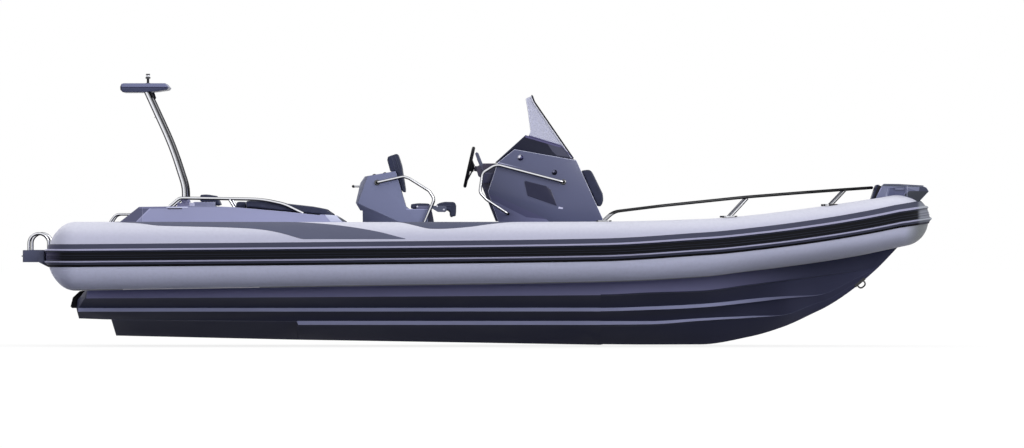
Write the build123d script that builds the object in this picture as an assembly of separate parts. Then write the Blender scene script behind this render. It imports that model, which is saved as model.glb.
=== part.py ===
# Rigid inflatable boat, 7.5 m over all, with a centre console, a folding light arch and a bow pulpit.
# Frame: +X to the bow, +Y to port, +Z up. Origin on the design waterline, on the centreline,
# midway between the stern platform's aft face and the bow step's tip. Millimetres.
# Side outlines are (x, z) pairs, plan outlines are (x, y) pairs, sections are (y, z) pairs.
# A port piece is modelled and its starboard twin is its mirror image.

import os
from math import atan2, cos, degrees, radians, sin, sqrt

from build123d import *

os.makedirs("parts", exist_ok=True)

# ---------------------------------------------------------------- clearances shared by all pieces
seat_gap = 0.6  # between a stiff piece and the curved collar it lies on
rest_gap = 0.3  # under a cushion, round a fitted board
pin_gap = 0.08  # round a pin or shaft in its bore

# ---------------------------------------------------------------- inflatable collar
collar_half_width = 1165  # centreline to tube centre, alongside
collar_tail_x = -3311  # where the straight tube ends and its cap starts
collar_straight_end_x = 1018
collar_nose_x = 3526
collar_nose_bend = 450
collar_cap_length = 232
collar_cap_edge_bend = 190
side_bend_steps = 6
nose_bend_steps = 7

# columns: x, height of tube centre, tube radius, height of rub rail above tube centre
collar_line = [
    (collar_tail_x, 322, 284, 8),
    (-1051, 339, 265, 11),
    (collar_straight_end_x, 358, 250, 19),
    (1846, 389, 240, 40),
    (2260, 429, 230, 43),
    (2674, 480, 229, 48),
    (3088, 541, 226, 57),
    (collar_nose_x, 621, 215, 68),
]

bend_run = collar_nose_x - collar_straight_end_x - collar_nose_bend
bend_drop = collar_half_width - collar_nose_bend
side_turn = 2 * degrees(atan2(bend_drop, bend_run))  # both arcs are tangent where they meet
side_bend = collar_nose_bend + bend_run / sin(radians(side_turn))
half_turns = [side_turn * i / side_bend_steps for i in range(side_bend_steps + 1)]
half_turns += [side_turn + (90 - side_turn) * i / nose_bend_steps for i in range(1, nose_bend_steps + 1)]
bow_turns = half_turns + [180 - t for t in reversed(half_turns[:-1])]


def between(x, rows, column):
    """Value of a table's column at x, straight between its rows."""
    rows = sorted(rows)
    if x <= rows[0][0]:
        return rows[0][column]
    for low, high in zip(rows, rows[1:]):
        if x <= high[0]:
            share = (x - low[0]) / (high[0] - low[0])
            return low[column] + share * (high[column] - low[column])
    return rows[-1][column]


def bend_point(turn):
    """Plan place of the tube's centre where it has turned inward by this many degrees, 0 to 180."""
    half = min(turn, 180 - turn)
    if half <= side_turn:
        x = collar_straight_end_x + side_bend * sin(radians(half))
        y = collar_half_width - side_bend * (1 - cos(radians(half)))
    else:
        x = collar_nose_x - collar_nose_bend + collar_nose_bend * sin(radians(half))
        y = collar_nose_bend * cos(radians(half))
    return x, (y if turn <= 90 else -y)


def collar_half_width_at(x):
    """Distance from the centreline to the tube's centre at x."""
    if x <= collar_straight_end_x:
        return collar_half_width
    big_end = collar_straight_end_x + side_bend * sin(radians(side_turn))
    if x <= big_end:
        return collar_half_width - side_bend + sqrt(side_bend**2 - (x - collar_straight_end_x) ** 2)
    return sqrt(max(collar_nose_bend**2 - (x - collar_nose_x + collar_nose_bend) ** 2, 0))


def collar_top(x):
    return between(x, collar_line, 1) + between(x, collar_line, 2)


def collar_plane(x, y, turn):
    """Plane across the tube: local x is outward, local y is up."""
    return Plane(
        origin=(x, y, between(x, collar_line, 1)),
        x_dir=(sin(radians(turn)), cos(radians(turn)), 0),
        z_dir=(cos(radians(turn)), -sin(radians(turn)), 0),
    )


straight_stations = [(row[0], collar_half_width, 0) for row in collar_line[:3]]
bow_stations = [(*bend_point(t), t) for t in bow_turns]


def tube_run(stations, extra=0):
    sections = [collar_plane(*s) * Circle(between(s[0], collar_line, 2) + extra) for s in stations]
    return loft(sections, ruled=True)


def polar(centre, radius, angle):
    return (centre[0] + radius * cos(radians(angle)), centre[1] + radius * sin(radians(angle)))


def tail_dome(extra=0):
    """Port tube's rounded end, grown by extra: two tangent arcs turned about the tube's axis."""
    rim = collar_line[0][2]
    edge = collar_cap_edge_bend
    crown = (collar_cap_length**2 + (rim - edge) ** 2 - edge**2) / (2 * (collar_cap_length - edge))
    edge_centre = (collar_tail_x, collar_half_width + rim - edge)
    crown_centre = (collar_tail_x - collar_cap_length + crown, collar_half_width)
    meet = 180 - degrees(atan2(rim - edge, crown - collar_cap_length))
    start, joint, tip = (
        polar(edge_centre, edge + extra, 90),
        polar(edge_centre, edge + extra, meet),
        polar(crown_centre, crown + extra, 180),
    )
    outline = [
        ThreePointArc(start, polar(edge_centre, edge + extra, (90 + meet) / 2), joint),
        ThreePointArc(joint, polar(crown_centre, crown + extra, (meet + 180) / 2), tip),
        Polyline(tip, (collar_tail_x, collar_half_width), start),
    ]
    height = collar_line[0][1]
    face = Plane.XY.offset(height) * make_face(outline)
    return revolve(face, Axis((0, collar_half_width, height), (1, 0, 0)))


# ---------------------------------------------------------------- rub rail
rail_foot = 9.5  # thickness of the two wings
rail_ridge = 29
rail_recess = 12

# columns: height above the rail's centre, thickness outward from the tube
rail_outline = [
    (91, 0.8),
    (88, rail_foot),
    (52, rail_foot + 1),
    (47, rail_ridge),
    (31, rail_ridge),
    (27, rail_recess),
    (-48, rail_recess),
    (-52, rail_ridge),
    (-69, rail_ridge),
    (-74, rail_foot + 1),
    (-93, rail_foot),
    (-97, 0.8),
]
# columns: top, bottom, thickness of the rail's bands where it goes round the tube's rounded end
rail_bands = [(89, -95, rail_foot), (49, 29, rail_ridge), (29, -50, rail_recess), (-50, -71, rail_ridge)]


def rail_section(station):
    radius = between(station[0], collar_line, 2) + seat_gap
    lift = between(station[0], collar_line, 3)

    def on_tube(height, thickness):
        return (sqrt(radius**2 - (lift + height) ** 2) + thickness, lift + height)

    outer = [on_tube(*row) for row in rail_outline]
    top = on_tube(rail_outline[0][0], 0)
    bottom = on_tube(rail_outline[-1][0], 0)
    inner = ThreePointArc(bottom, on_tube(0, 0), top)
    return collar_plane(*station) * make_face([Polyline(top, *outer, bottom), inner])


def rail_round_tail():
    centre = collar_line[0][1] + collar_line[0][3]
    solid = None
    for top, bottom, thickness in rail_bands:
        slab = Pos(collar_tail_x - 300, collar_half_width + 300, centre + (top + bottom) / 2)
        slab *= Box(600, 700, top - bottom)
        band = tail_dome(thickness) & slab
        solid = band if solid is None else solid + band
    return solid - tail_dome(seat_gap)


# ---------------------------------------------------------------- solids from outlines
def turned_left(points):
    area = sum(a[0] * b[1] - b[0] * a[1] for a, b in zip(points, points[1:] + points[:1]))
    return points if area > 0 else points[::-1]


def side_plate(points, y_low, y_high):
    """Side outline of (x, z) points, solid from y_low to y_high."""
    plane = Plane(origin=(0, y_high, 0), x_dir=(1, 0, 0), z_dir=(0, -1, 0))
    return extrude(plane * Polygon(*turned_left(points)), amount=y_high - y_low)


def plan_plate(points, z_low, z_high):
    """Plan outline of (x, y) points, solid from z_low to z_high."""
    return extrude(Plane.XY.offset(z_low) * Polygon(*turned_left(points)), amount=z_high - z_low)


def block(x_low, x_high, y_low, y_high, z_low, z_high):
    centre = ((x_low + x_high) / 2, (y_low + y_high) / 2, (z_low + z_high) / 2)
    return Pos(*centre) * Box(x_high - x_low, y_high - y_low, z_high - z_low)


def rod(points, radius, bends):
    """Round bar along points, with an arc at each inner point."""
    path = FilletPolyline(*points, radius=bends) if len(points) > 2 else Line(*points)
    return sweep(Plane(origin=path @ 0, z_dir=path % 0) * Circle(radius), path=path)


def disc(centre, axis, radius, thickness):
    """Flat round piece standing on centre along axis."""
    return extrude(Plane(origin=centre, z_dir=axis) * Circle(radius), amount=thickness)


def shave(shape, a, b, c):
    """Cut away what lies beyond the plane through three points, the side away from the centreline."""
    normal = (Vector(*b) - Vector(*a)).cross(Vector(*c) - Vector(*a))
    if normal.Y < 0:
        normal = normal * -1
    return split(shape, bisect_by=Plane(origin=a, z_dir=normal), keep=Keep.BOTTOM)


def twin(shape):
    return mirror(shape, about=Plane.XZ)


def node(name, *shapes):
    """Write one named piece, which may be several solids that don't touch."""
    solids = [s for shape in shapes for s in shape.solids()]
    export_step(solids[0] if len(solids) == 1 else Compound(children=solids), f"parts/{name}.step")
    print(name, len(solids), round(sum(s.volume for s in solids) / 1e6, 2), "litres")


def node_pair(name, shape):
    """Write a port piece and its starboard twin as two nodes."""
    node(name + "_port", shape)
    node(name + "_starboard", twin(shape))


def node_twins(name, *port_shapes):
    """Write port pieces and their starboard twins as one node."""
    node(name, *port_shapes, *[twin(s) for s in port_shapes])


# ---------------------------------------------------------------- build the collar and its rail
port_tube = tube_run(straight_stations) + tail_dome()
node_pair("tube", port_tube)
bow_tube = tube_run(bow_stations)
node("tube_bow", bow_tube)

port_rail = loft([rail_section(s) for s in straight_stations], ruled=True) + rail_round_tail()
bow_rail = loft([rail_section(s) for s in bow_stations], ruled=True)
node("rub_rail", port_rail + bow_rail + twin(port_rail))

port_room = tube_run(straight_stations, seat_gap) + tail_dome(seat_gap)  # the room the collar takes
bow_room = tube_run(bow_stations, seat_gap)


def clear_of_collar(shape, bow=False, sides=True):
    if sides:
        shape = shape - port_room - twin(port_room)
    return shape - bow_room if bow else shape


# ---------------------------------------------------------------- hull
aft_top = 236  # flat top of the hull abaft the cockpit
hull_tail_x = -3340
transom_rake = 14
transom_foot = (-3001, -339)
strake_lift = 0.55  # height of a strake's outer face for its width
hull_breadth = collar_half_width / 1165  # the table's widths are those of a collar this wide
chine_flat = 110

# columns: x, keel z, lower strake y z width, upper strake y z width, chine y z, top edge y z
hull_sections = [
    (hull_tail_x, -331, 330, -203, 1, 575, -137, 55, 850, -27, 925, aft_top),
    (-1500, -373, 330, -219, 1, 575, -137, 55, 850, -17, 930, aft_top),
    (-1485, -373, 330, -248, 60, 575, -137, 55, 850, -17, 930, aft_top),
    (190, -401, 330, -248, 60, 575, -135, 55, 850, 0, 932, 262),
    (1018, -415, 330, -248, 60, 575, -135, 55, 850, 0, 932, 283),
    (1432, -418, 318, -240, 52, 560, -124, 55, 825, 17, 915, 300),
    (1846, -418, 295, -215, 42, 515, -105, 58, 760, 31, 850, 318),
    (2260, -353, 245, -190, 29, 425, -64, 58, 640, 83, 735, 360),
    (2533, -262, 185, -168, 2, 375, -32, 38, 520, 118, 620, 395),
    (2806, -137, 85, -72, 1, 170, -8, 12, 345, 154, 480, 440),
    (2889, -96, 60, -46, 1, 130, 12, 2, 285, 165, 430, 450),
    (3096, 41, 30, 70, 1, 75, 114, 1, 140, 191, 300, 480),
    (3303, 219, 4, 221, 1, 8, 224, 1, 14, 229, 190, 505),
    (3500, 421, 3, 423, 1, 6, 425, 1, 10, 429, 100, 520),
]


def hull_section(row, headroom=0):
    """Section at row's x. With headroom its sides go on upward, as room for what stands on the hull."""
    x, keel, y1, z1, w1, y2, z2, w2, chine_y, chine_z, top_y, top_z = row
    y1, y2, chine_y, top_y = [y * hull_breadth for y in (y1, y2, chine_y, top_y)]
    flat = min(chine_flat, 0.25 * (chine_y - y2))
    half = [
        (y1 - w1, z1 - 0.28 * w1),
        (y1, z1),
        (y1, z1 + strake_lift * w1),
        (y2 - w2, z2 + 0.12 * w2),
        (y2, z2),
        (y2, z2 + strake_lift * w2),
        (chine_y - flat, chine_z - 0.09 * flat),
        (chine_y, chine_z),
        (top_y, top_z),
    ]
    if headroom:
        half.append((top_y, top_z + headroom))
    outline = [(0, keel)] + half + [(-y, z) for y, z in reversed(half)]
    return Plane(origin=(x, 0, 0), x_dir=(0, 1, 0), z_dir=(1, 0, 0)) * Polygon(*outline)


hull_block = loft([hull_section(row) for row in hull_sections], ruled=True)
hull_envelope = loft([hull_section(row, 400) for row in hull_sections], ruled=True)

# transom, engine well and stern pods
well_half_width = 335
board_half_width = well_half_width + 10
board_thickness = 60
board_foot_z = -60
board_top_z = 296
splash_well_front_x = -2965
splash_well_floor_z = -30
pod_foot_z = -190
pod_keel_z = -204
rake_run = sin(radians(transom_rake)) / cos(radians(transom_rake))


def transom_x(z, forward=0):
    """Place of the transom's aft face at height z, or of a face that far forward of it, level with it."""
    return transom_foot[0] - (z - transom_foot[1]) * rake_run + forward / cos(radians(transom_rake))


far_aft = hull_tail_x - 100
far_down = -600
far_up = 700
# pod's rounded aft end, from its top down to its foot
pod_end = [(-3215, far_up), (-3215, 90), (-3245, 33), (-3311, -41), (-3319, -116), (-3303, pod_foot_z)]

behind_transom = side_plate(
    [(transom_x(far_down), far_down), (transom_x(far_up), far_up), (far_aft, far_up), (far_aft, far_down)],
    -well_half_width,
    well_half_width,
)
below_outline = [(transom_x(far_down), far_down), (transom_x(pod_keel_z), pod_keel_z)]
below_outline += [(far_aft, pod_foot_z), (far_aft, far_down)]
below_pods = side_plate(below_outline, -collar_half_width, collar_half_width)
behind_outline = pod_end + [(-3303, far_down), (far_aft, far_down), (far_aft, far_up)]
behind_pods = side_plate(behind_outline, -collar_half_width, collar_half_width)
board_pocket = side_plate(
    [
        (transom_x(board_foot_z) - 1, board_foot_z),
        (transom_x(board_foot_z, board_thickness + rest_gap), board_foot_z),
        (transom_x(far_up, board_thickness + rest_gap), far_up),
        (transom_x(far_up) - 1, far_up),
    ],
    -board_half_width - rest_gap,
    board_half_width + rest_gap,
)
splash_well = side_plate(
    [
        (transom_x(splash_well_floor_z), splash_well_floor_z),
        (splash_well_front_x, splash_well_floor_z),
        (splash_well_front_x, far_up),
        (transom_x(far_up), far_up),
    ],
    -well_half_width + 5,
    well_half_width - 5,
)

# cockpit room and bow room sunk into the hull
floor_under_z = 90
floor_z = 130
cockpit_aft_x = -1345
cockpit_front_x = 1900
room_inset = 300  # from the tube's centre line in to the sunk cockpit
wall_inset = 335  # and in to the face of the cockpit's walls
bow_inset = 330
bow_seat_z = 480
bow_room_steps = [(cockpit_front_x, 2900, 262), (2899, 3240, 335)]  # aft x, front x, floor z


def inside_outline(inset, aft_x, front_x, steps=8):
    """Plan outline that keeps this far inboard of the tube's centre line, from aft_x to front_x."""
    bend_x = max(aft_x, collar_straight_end_x)
    places = [bend_x + (front_x - bend_x) * i / steps for i in range(steps + 1)]
    if aft_x < bend_x:
        places = [aft_x] + places
    port = []
    for x in places:
        slope = min(max((x - collar_straight_end_x) / side_bend, 0), sin(radians(side_turn)))
        port.append((x, collar_half_width_at(x) - inset / sqrt(1 - slope**2)))
    return port + [(x, -y) for x, y in reversed(port)]


cockpit_room = plan_plate(inside_outline(room_inset, cockpit_aft_x, cockpit_front_x), floor_under_z, far_up)
bow_rooms = [plan_plate(inside_outline(bow_inset, *ends), z, far_up) for *ends, z in bow_room_steps]

hull = hull_block - behind_transom - below_pods - behind_pods - board_pocket - splash_well - cockpit_room
for room in bow_rooms:
    hull = hull - room
# the pod's outer corner is taken off through these three points
pod_corner = [(x, y * hull_breadth, z) for x, y, z in [(-3233, 850, -27), (-3305, 575, -137), (-3311, 500, -41)]]
hull_aft = hull & block(far_aft, -2900, 0, 2000, far_down, far_up)
pod_cut = hull_aft - shave(hull_aft, *pod_corner)
hull = clear_of_collar(hull - pod_cut - twin(pod_cut), bow=True)
node("hull", hull)


def clear_of_hull(shape, bow=False):
    """Cut away the collar and the hull, and what would show outside the hull's sides."""
    return clear_of_collar(shape & hull_envelope, bow=bow) - hull


# ---------------------------------------------------------------- deck liner
liner_top_z = 430
wall_aft_x = -1088
collar_reach = 150  # outlines that end inside the collar, where it trims them

floor_slab = plan_plate(inside_outline(room_inset, cockpit_aft_x, cockpit_front_x), floor_under_z, floor_z)
walls = plan_plate(inside_outline(collar_reach, wall_aft_x, cockpit_front_x), floor_z, liner_top_z)
walls -= plan_plate(inside_outline(wall_inset, wall_aft_x - 10, cockpit_front_x), floor_z, liner_top_z)
node("deck_liner", floor_slab + clear_of_hull(walls, bow=True))

# ---------------------------------------------------------------- bow seat module
bow_well = (cockpit_front_x - 10, 2480, 260)  # aft x, front x, half width
bow_module_plan = inside_outline(collar_reach, cockpit_front_x, bow_room_steps[1][1])
bow_module = clear_of_hull(plan_plate(bow_module_plan, floor_under_z, bow_seat_z), bow=True)
bow_module -= block(bow_well[0], bow_well[1], -bow_well[2], bow_well[2], 300, far_up)
node("bow_seat_module", bow_module)

cushion_height = 78
bow_cushion_gap = 6
bow_side_cushion = plan_plate(
    [p for p in inside_outline(wall_inset - 30, cockpit_front_x + 12, bow_well[1]) if p[1] > 0]
    + [(bow_well[1], bow_well[2] + 8), (cockpit_front_x + 12, bow_well[2] + 8)],
    bow_seat_z + rest_gap,
    bow_seat_z + cushion_height,
)
bow_front_cushion = plan_plate(
    inside_outline(wall_inset - 30, bow_well[1] + bow_cushion_gap, 3140),
    bow_seat_z + rest_gap,
    bow_seat_z + cushion_height,
)
bow_side_cushion = clear_of_collar(bow_side_cushion, bow=True)
bow_front_cushion = clear_of_collar(bow_front_cushion, bow=True) - hull
node("bow_cushions", bow_side_cushion, twin(bow_side_cushion), bow_front_cushion)

# ---------------------------------------------------------------- stern: transom board, platforms, pads
bolt_radius = 6.75
upper_bolt_span = 327  # between the two upper bolts
lower_bolt_span = 250.8
upper_bolt_drop = 51  # down the board from its top edge
bolt_rows_apart = 203

board = side_plate(
    [
        (transom_x(board_foot_z), board_foot_z + rest_gap),
        (transom_x(board_foot_z, board_thickness), board_foot_z + rest_gap),
        (transom_x(board_top_z, board_thickness), board_top_z),
        (transom_x(board_top_z), board_top_z),
    ],
    -board_half_width,
    board_half_width,
)
rake_cos = cos(radians(transom_rake))
for span, drop in [(upper_bolt_span, upper_bolt_drop), (lower_bolt_span, upper_bolt_drop + bolt_rows_apart)]:
    z = board_top_z - drop * rake_cos
    for y in (-span / 2, span / 2):
        axis = (rake_cos, 0, sin(radians(transom_rake)))
        start = (transom_x(z) - 50 * axis[0], y, z - 50 * axis[2])
        board -= disc(start, axis, bolt_radius, 200)
node("transom_board", board)

platform_top_z = 372
platform_foot_z = 273
platform_aft_x = -3750
module_aft_x = -2959
module_half_width = collar_half_width - 270
platform_inner_y = well_half_width + 15
platform_outer_y = collar_half_width - 65
platform_plan = [
    (platform_aft_x, platform_inner_y),
    (platform_aft_x, platform_outer_y - 15),
    (platform_aft_x + 15, platform_outer_y),
    (-3618, platform_outer_y),
    (-3588, platform_outer_y + 32),
    (-3588, platform_outer_y + 50),
    (-3300, platform_outer_y + 50),
    (-3300, module_half_width + 5),
    (module_aft_x, module_half_width + 5),
    (module_aft_x, platform_inner_y),
]
platform = plan_plate(platform_plan, platform_foot_z, platform_top_z)
knee = [(-3618, platform_foot_z), (-3540, 233), (-3300, 233), (-3300, platform_foot_z)]
platform += side_plate(knee, module_half_width + 5, platform_outer_y + 20)
platform += block(-3200, module_aft_x, platform_inner_y, module_half_width + 5, aft_top, platform_foot_z + 1)
platform = platform - tail_dome(rail_ridge + 1) - tube_run(straight_stations, seat_gap)
node_twins("swim_platforms", platform - hull)

hoop_radius = 12.5
hoop_bend = 81.5
hoop_y = 560
hoop_aft_x = -3712
hoop_front_x = -3549
hoop_middle_z = 508
hoop = rod(
    [
        (hoop_aft_x, hoop_y, platform_top_z),
        (hoop_aft_x, hoop_y, hoop_middle_z),
        (hoop_front_x, hoop_y, hoop_middle_z),
        (hoop_front_x, hoop_y, platform_top_z),
    ],
    hoop_radius,
    hoop_bend - 1,
)

tow_ring_x = platform_aft_x - 14
tow_ring_z = 323
tow_ring = rod(
    [
        (platform_aft_x, 690, tow_ring_z),
        (tow_ring_x, 690, tow_ring_z),
        (tow_ring_x, 750, tow_ring_z),
        (platform_aft_x, 750, tow_ring_z),
    ],
    5,
    5.5,
)

pad_outline = [(-3293, 33), (-3350, -20), (-3369, -95), (-3357, -108), (-3320, -108)] + pod_end[4:1:-1]
pad = side_plate(pad_outline, well_half_width + 15, well_half_width + 160) - hull
node_twins("stern_pads", pad)

# ---------------------------------------------------------------- aft seat module
wing_inner_y = module_half_width - 175
wing_front_x = -1093
seat_back_x = -1995
seat_front_x = -1345
aft_seat_z = 480
module_outline = [
    (module_aft_x, aft_top),
    (module_aft_x, 604),
    (-2795, 730),
    (-2230, 737),
    (seat_back_x, 726),
    (-1581, 690),
    (-1254, 656),
    (-1214, 609),
    (wing_front_x, 607),
    (wing_front_x, aft_top),
]
aft_module = side_plate(module_outline, -module_half_width, module_half_width)
aft_module -= block(module_aft_x - 10, -2700, -platform_inner_y, platform_inner_y, 0, far_up + 100)
aft_module -= block(seat_back_x, 0, -wing_inner_y, wing_inner_y, aft_seat_z, far_up + 100)
aft_module -= block(seat_front_x, 0, -wing_inner_y, wing_inner_y, 0, far_up + 100)
wing_foot = block(seat_front_x + 1, wing_front_x, wing_inner_y, module_half_width - 31, floor_z, aft_top + 30)
aft_module = aft_module + wing_foot + twin(wing_foot)
corner_plan = [(-3000, module_half_width - 195), (-3000, module_half_width + 105), (-2640, module_half_width + 105)]
aft_corner = plan_plate(corner_plan, aft_top, far_up + 100)
head_outline = [(-2359, 730), (-2359, 765), (-2345, 771), (-2172, 771), (-2172, 730)]
aft_module += side_plate(head_outline, -345, 345)
aft_module = clear_of_collar(aft_module - aft_corner - twin(aft_corner)) - hull
node("aft_seat_module", aft_module)

back_top_z = 778
aft_cushion_y = wing_inner_y - 3
aft_rest_z = aft_seat_z + rest_gap
aft_cushion = block(-1914, seat_front_x - 6, -aft_cushion_y, aft_cushion_y, aft_rest_z, aft_seat_z + 80)
aft_back = block(seat_back_x + rest_gap, -1916, -aft_cushion_y, aft_cushion_y, aft_rest_z, back_top_z)
side_pad_outline = [
    (-1914, 562),
    (-1914, back_top_z),
    (-1813, back_top_z),
    (-1639, 762),
    (-1370, 732),
    (-1242, 708),
    (-1184, 667),
    (-1200, 562),
]
side_pad = side_plate(side_pad_outline, wing_inner_y - 75, wing_inner_y - rest_gap)
side_pad_cap = side_plate(
    [(-1914, 730)] + side_pad_outline[1:6] + [(-1230, 660)],
    wing_inner_y - 20,
    wing_inner_y + 92,
)
side_pad = (side_pad + side_pad_cap) - side_plate(module_outline, wing_inner_y - rest_gap / 2, module_half_width)
node("aft_seat_cushions", aft_cushion, aft_back)
node_twins("aft_side_pads", side_pad)

head_pad_outline = [(-2302, 771.3), (-2302, 829), (-2243, 831), (-2160, 818)]
head_pad_outline += [(-2118, 740), (-2168, 740), (-2171.5, 771.3)]
head_pad = side_plate(head_pad_outline, -340, 340) - side_plate(module_outline, -400, 400)
node("aft_head_pad", head_pad)

rail_radius = 12.5
aft_rail_y = module_half_width - 63
aft_rail = rod(
    [
        (-2545, aft_rail_y, 732.5),
        (-2462, aft_rail_y, 803),
        (-1790, aft_rail_y, 793),
        (-1600, aft_rail_y, 752),
        (-1440, aft_rail_y, 675),
    ],
    rail_radius,
    [70, 900, 400],
)
aft_rail_leg = rod([(-2053, aft_rail_y, 795), (-2011, aft_rail_y, 727)], rail_radius - 2, 0)
aft_rail = aft_rail + aft_rail_leg - side_plate(module_outline, wing_inner_y, module_half_width)
node_twins("aft_rails", aft_rail)
stern_rail_y = 450
stern_rail = rod(
    [
        (-3045, stern_rail_y, platform_top_z),
        (-3045, stern_rail_y, 600),
        (-2995, stern_rail_y, 668),
        (-2870, stern_rail_y, 667),
    ],
    rail_radius - 2,
    [80, 60],
)
node_twins("stern_rails", stern_rail - side_plate(module_outline, 350, 550), hoop)

# ---------------------------------------------------------------- light arch, hinged on the aft module
arch_hinge = (-2421, 775)  # x, z of the hinge pins
arch_hinge_y = module_half_width - 135
arch_leg_radius = 22
arch_lean = 0.12  # legs close in toward the top by this share of their rise
arch_pin_radius = 6
arch_eye_width = 30
arch_path = [(-2421, 893), (-2530, 1232), (-2745, 1700)]
arch_wing_half_width = arch_hinge_y - 60


def leg_point(x, z):
    return (x, arch_hinge_y - arch_lean * (z - arch_hinge[1]), z)


arch_leg_start = arch_hinge[1] + 31  # the round leg starts above the cheeks it turns between
arch_leg_line = [leg_point(arch_hinge[0], arch_leg_start)] + [leg_point(*p) for p in arch_path]
arch_leg_bends = [380, 2800]
arch_leg = rod(arch_leg_line, arch_leg_radius, arch_leg_bends)
arch_eye_foot = (arch_hinge[0], arch_hinge_y - arch_eye_width / 2, arch_hinge[1])
arch_eye = disc(arch_eye_foot, (0, 1, 0), arch_leg_radius - 3, arch_eye_width)
arch_eye += block(
    arch_hinge[0] - 17,
    arch_hinge[0] + 17,
    arch_hinge_y - arch_eye_width / 2,
    arch_hinge_y + arch_eye_width / 2,
    arch_hinge[1],
    arch_leg_start + 6,
)
arch_bore_foot = (arch_hinge[0], arch_hinge_y - 60, arch_hinge[1])
arch_leg = arch_leg + arch_eye - disc(arch_bore_foot, (0, 1, 0), arch_pin_radius + pin_gap, 120)
wing_outline = [
    (-2955, 1719),
    (-2944, 1749),
    (-2925, 1753),
    (-2580, 1753),
    (-2553, 1718),
    (-2563, 1698),
    (-2687, 1686),
    (-2745, 1678),
    (-2935, 1678),
    (-2951, 1690),
]
arch_wing = side_plate(wing_outline, -arch_wing_half_width, arch_wing_half_width)
wing_ridge_z = 1719
for side in (1, -1):
    for z_edge in (1753.5, 1677.5):
        outline = [
            (side * arch_wing_half_width, wing_ridge_z),
            (side * (arch_wing_half_width - 38), z_edge),
            (side * (arch_wing_half_width + 60), z_edge),
            (side * (arch_wing_half_width + 60), wing_ridge_z),
        ]
        face = Plane(origin=(-3000, 0, 0), x_dir=(0, 1, 0), z_dir=(1, 0, 0)) * Polygon(*turned_left(outline))
        arch_wing -= extrude(face, amount=500)
arch_leg -= side_plate(wing_outline, -arch_wing_half_width, arch_wing_half_width)
gusset_outline = [(-2722, 1688), (-2668, 1692), (-2642, 1620), (-2652, 1600), (-2690, 1640)]
gusset = side_plate(gusset_outline, arch_hinge_y - 124, arch_hinge_y - 110)
gusset -= rod(arch_leg_line, arch_leg_radius + 0.2, arch_leg_bends)
stub = disc((*leg_point(-2631, 1469)[:2], 1469), (-1, 0, 0), 4, 42)
stub -= rod(arch_leg_line, arch_leg_radius - 1, arch_leg_bends)
node_twins("arch_legs", arch_leg + stub)
node("arch_wing", arch_wing + gusset + twin(gusset))

light_x = -2737
light_post = Pos(light_x, 0, 1753) * (
    Pos(0, 0, 20) * Cylinder(10.5, 40) + Pos(0, 0, 3) * Cylinder(18, 6) + Pos(0, 0, 42) * Cylinder(21, 4)
)
light_lens = Pos(light_x, 0, 1753) * (Pos(0, 0, 58) * Cylinder(16, 28 - 0.2))
light_cap = Pos(light_x, 0, 1753) * (Pos(0, 0, 77) * Cylinder(17, 10))
node("arch_light_lens", light_lens)
node("arch_light_post", light_post, light_cap)

hinge_x, hinge_z = arch_hinge
hinge_base = block(hinge_x - 62, hinge_x + 45, arch_hinge_y - 42, arch_hinge_y + 42, 725, 742)
for low, high in [(arch_eye_width / 2 + 2, 27), (-27, -arch_eye_width / 2 - 2)]:
    cheek = block(hinge_x - 24, hinge_x + 24, arch_hinge_y + low, arch_hinge_y + high, 741, hinge_z)
    cheek += disc((hinge_x, arch_hinge_y + low, hinge_z), (0, 1, 0), 24, high - low)
    hinge_base += cheek
hinge_base += disc((hinge_x, arch_hinge_y - 34, hinge_z), (0, 1, 0), arch_pin_radius, 68)
hinge_base += block(hinge_x - 60, hinge_x - 20, arch_hinge_y + 17, arch_hinge_y + 27, 741, 757)
hinge_base += disc((hinge_x - 48, arch_hinge_y + 26, 755), (0, 1, 0), 14, 14)
hinge_base -= side_plate(module_outline, arch_hinge_y - 60, arch_hinge_y + 60)
node("arch_hinge_bases", hinge_base, twin(hinge_base))

# ---------------------------------------------------------------- helm seat
seat_half_width = 400
seat_cushion_half_width = seat_half_width - 20
helm_outline = [
    (-934, 982),
    (-681, 1026),
    (-671, 1008),
    (-627, 846),
    (-593, 733),
    (-567, 713),
    (-384, 711),
    (-364, 608),
    (-364, 480),
    (-420, floor_z),
    (-900, floor_z),
    (-952, 608),
    (-953, 698),
    (-972, 700),
    (-1010, 763),
    (-972, 928),
]


helm_half = side_plate(helm_outline, 0, seat_half_width)
# aft bevel down the side's rear edge, then the undercut below the crease: x, inset from the side, z
for facet in [
    [(-915, 0, 969), (-988, 0, 763), (-1010, 70, 763)],
    [(-988, 0, 760), (-649, 0, 608), (-988, 75, 660)],
]:
    helm_half = shave(helm_half, *[(x, seat_half_width - inset, z) for x, inset, z in facet])
helm_body = helm_half + twin(helm_half)
node("helm_seat_body", helm_body)

helm_back_outline = [
    (-754, 1147),
    (-675, 1175),
    (-662, 1172),
    (-630, 1074),
    (-595, 855),
    (-603, 846),
    (-624, 846.5),
    (-668, 1011),
    (-681, 1025.6),
    (-719, 1019),
]
helm_back = side_plate(helm_back_outline, -seat_half_width + 30, seat_half_width - 30)
helm_back = helm_back - side_plate(helm_outline, -seat_half_width, seat_half_width)
node("helm_backrest", helm_back)
helm_cushion = side_plate(
    [(-554, 713.4), (-554, 752), (-490, 759), (-402, 757), (-392, 745), (-392, 711.6)],
    -seat_cushion_half_width,
    seat_cushion_half_width,
)
node("helm_seat_cushion", helm_cushion)

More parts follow.
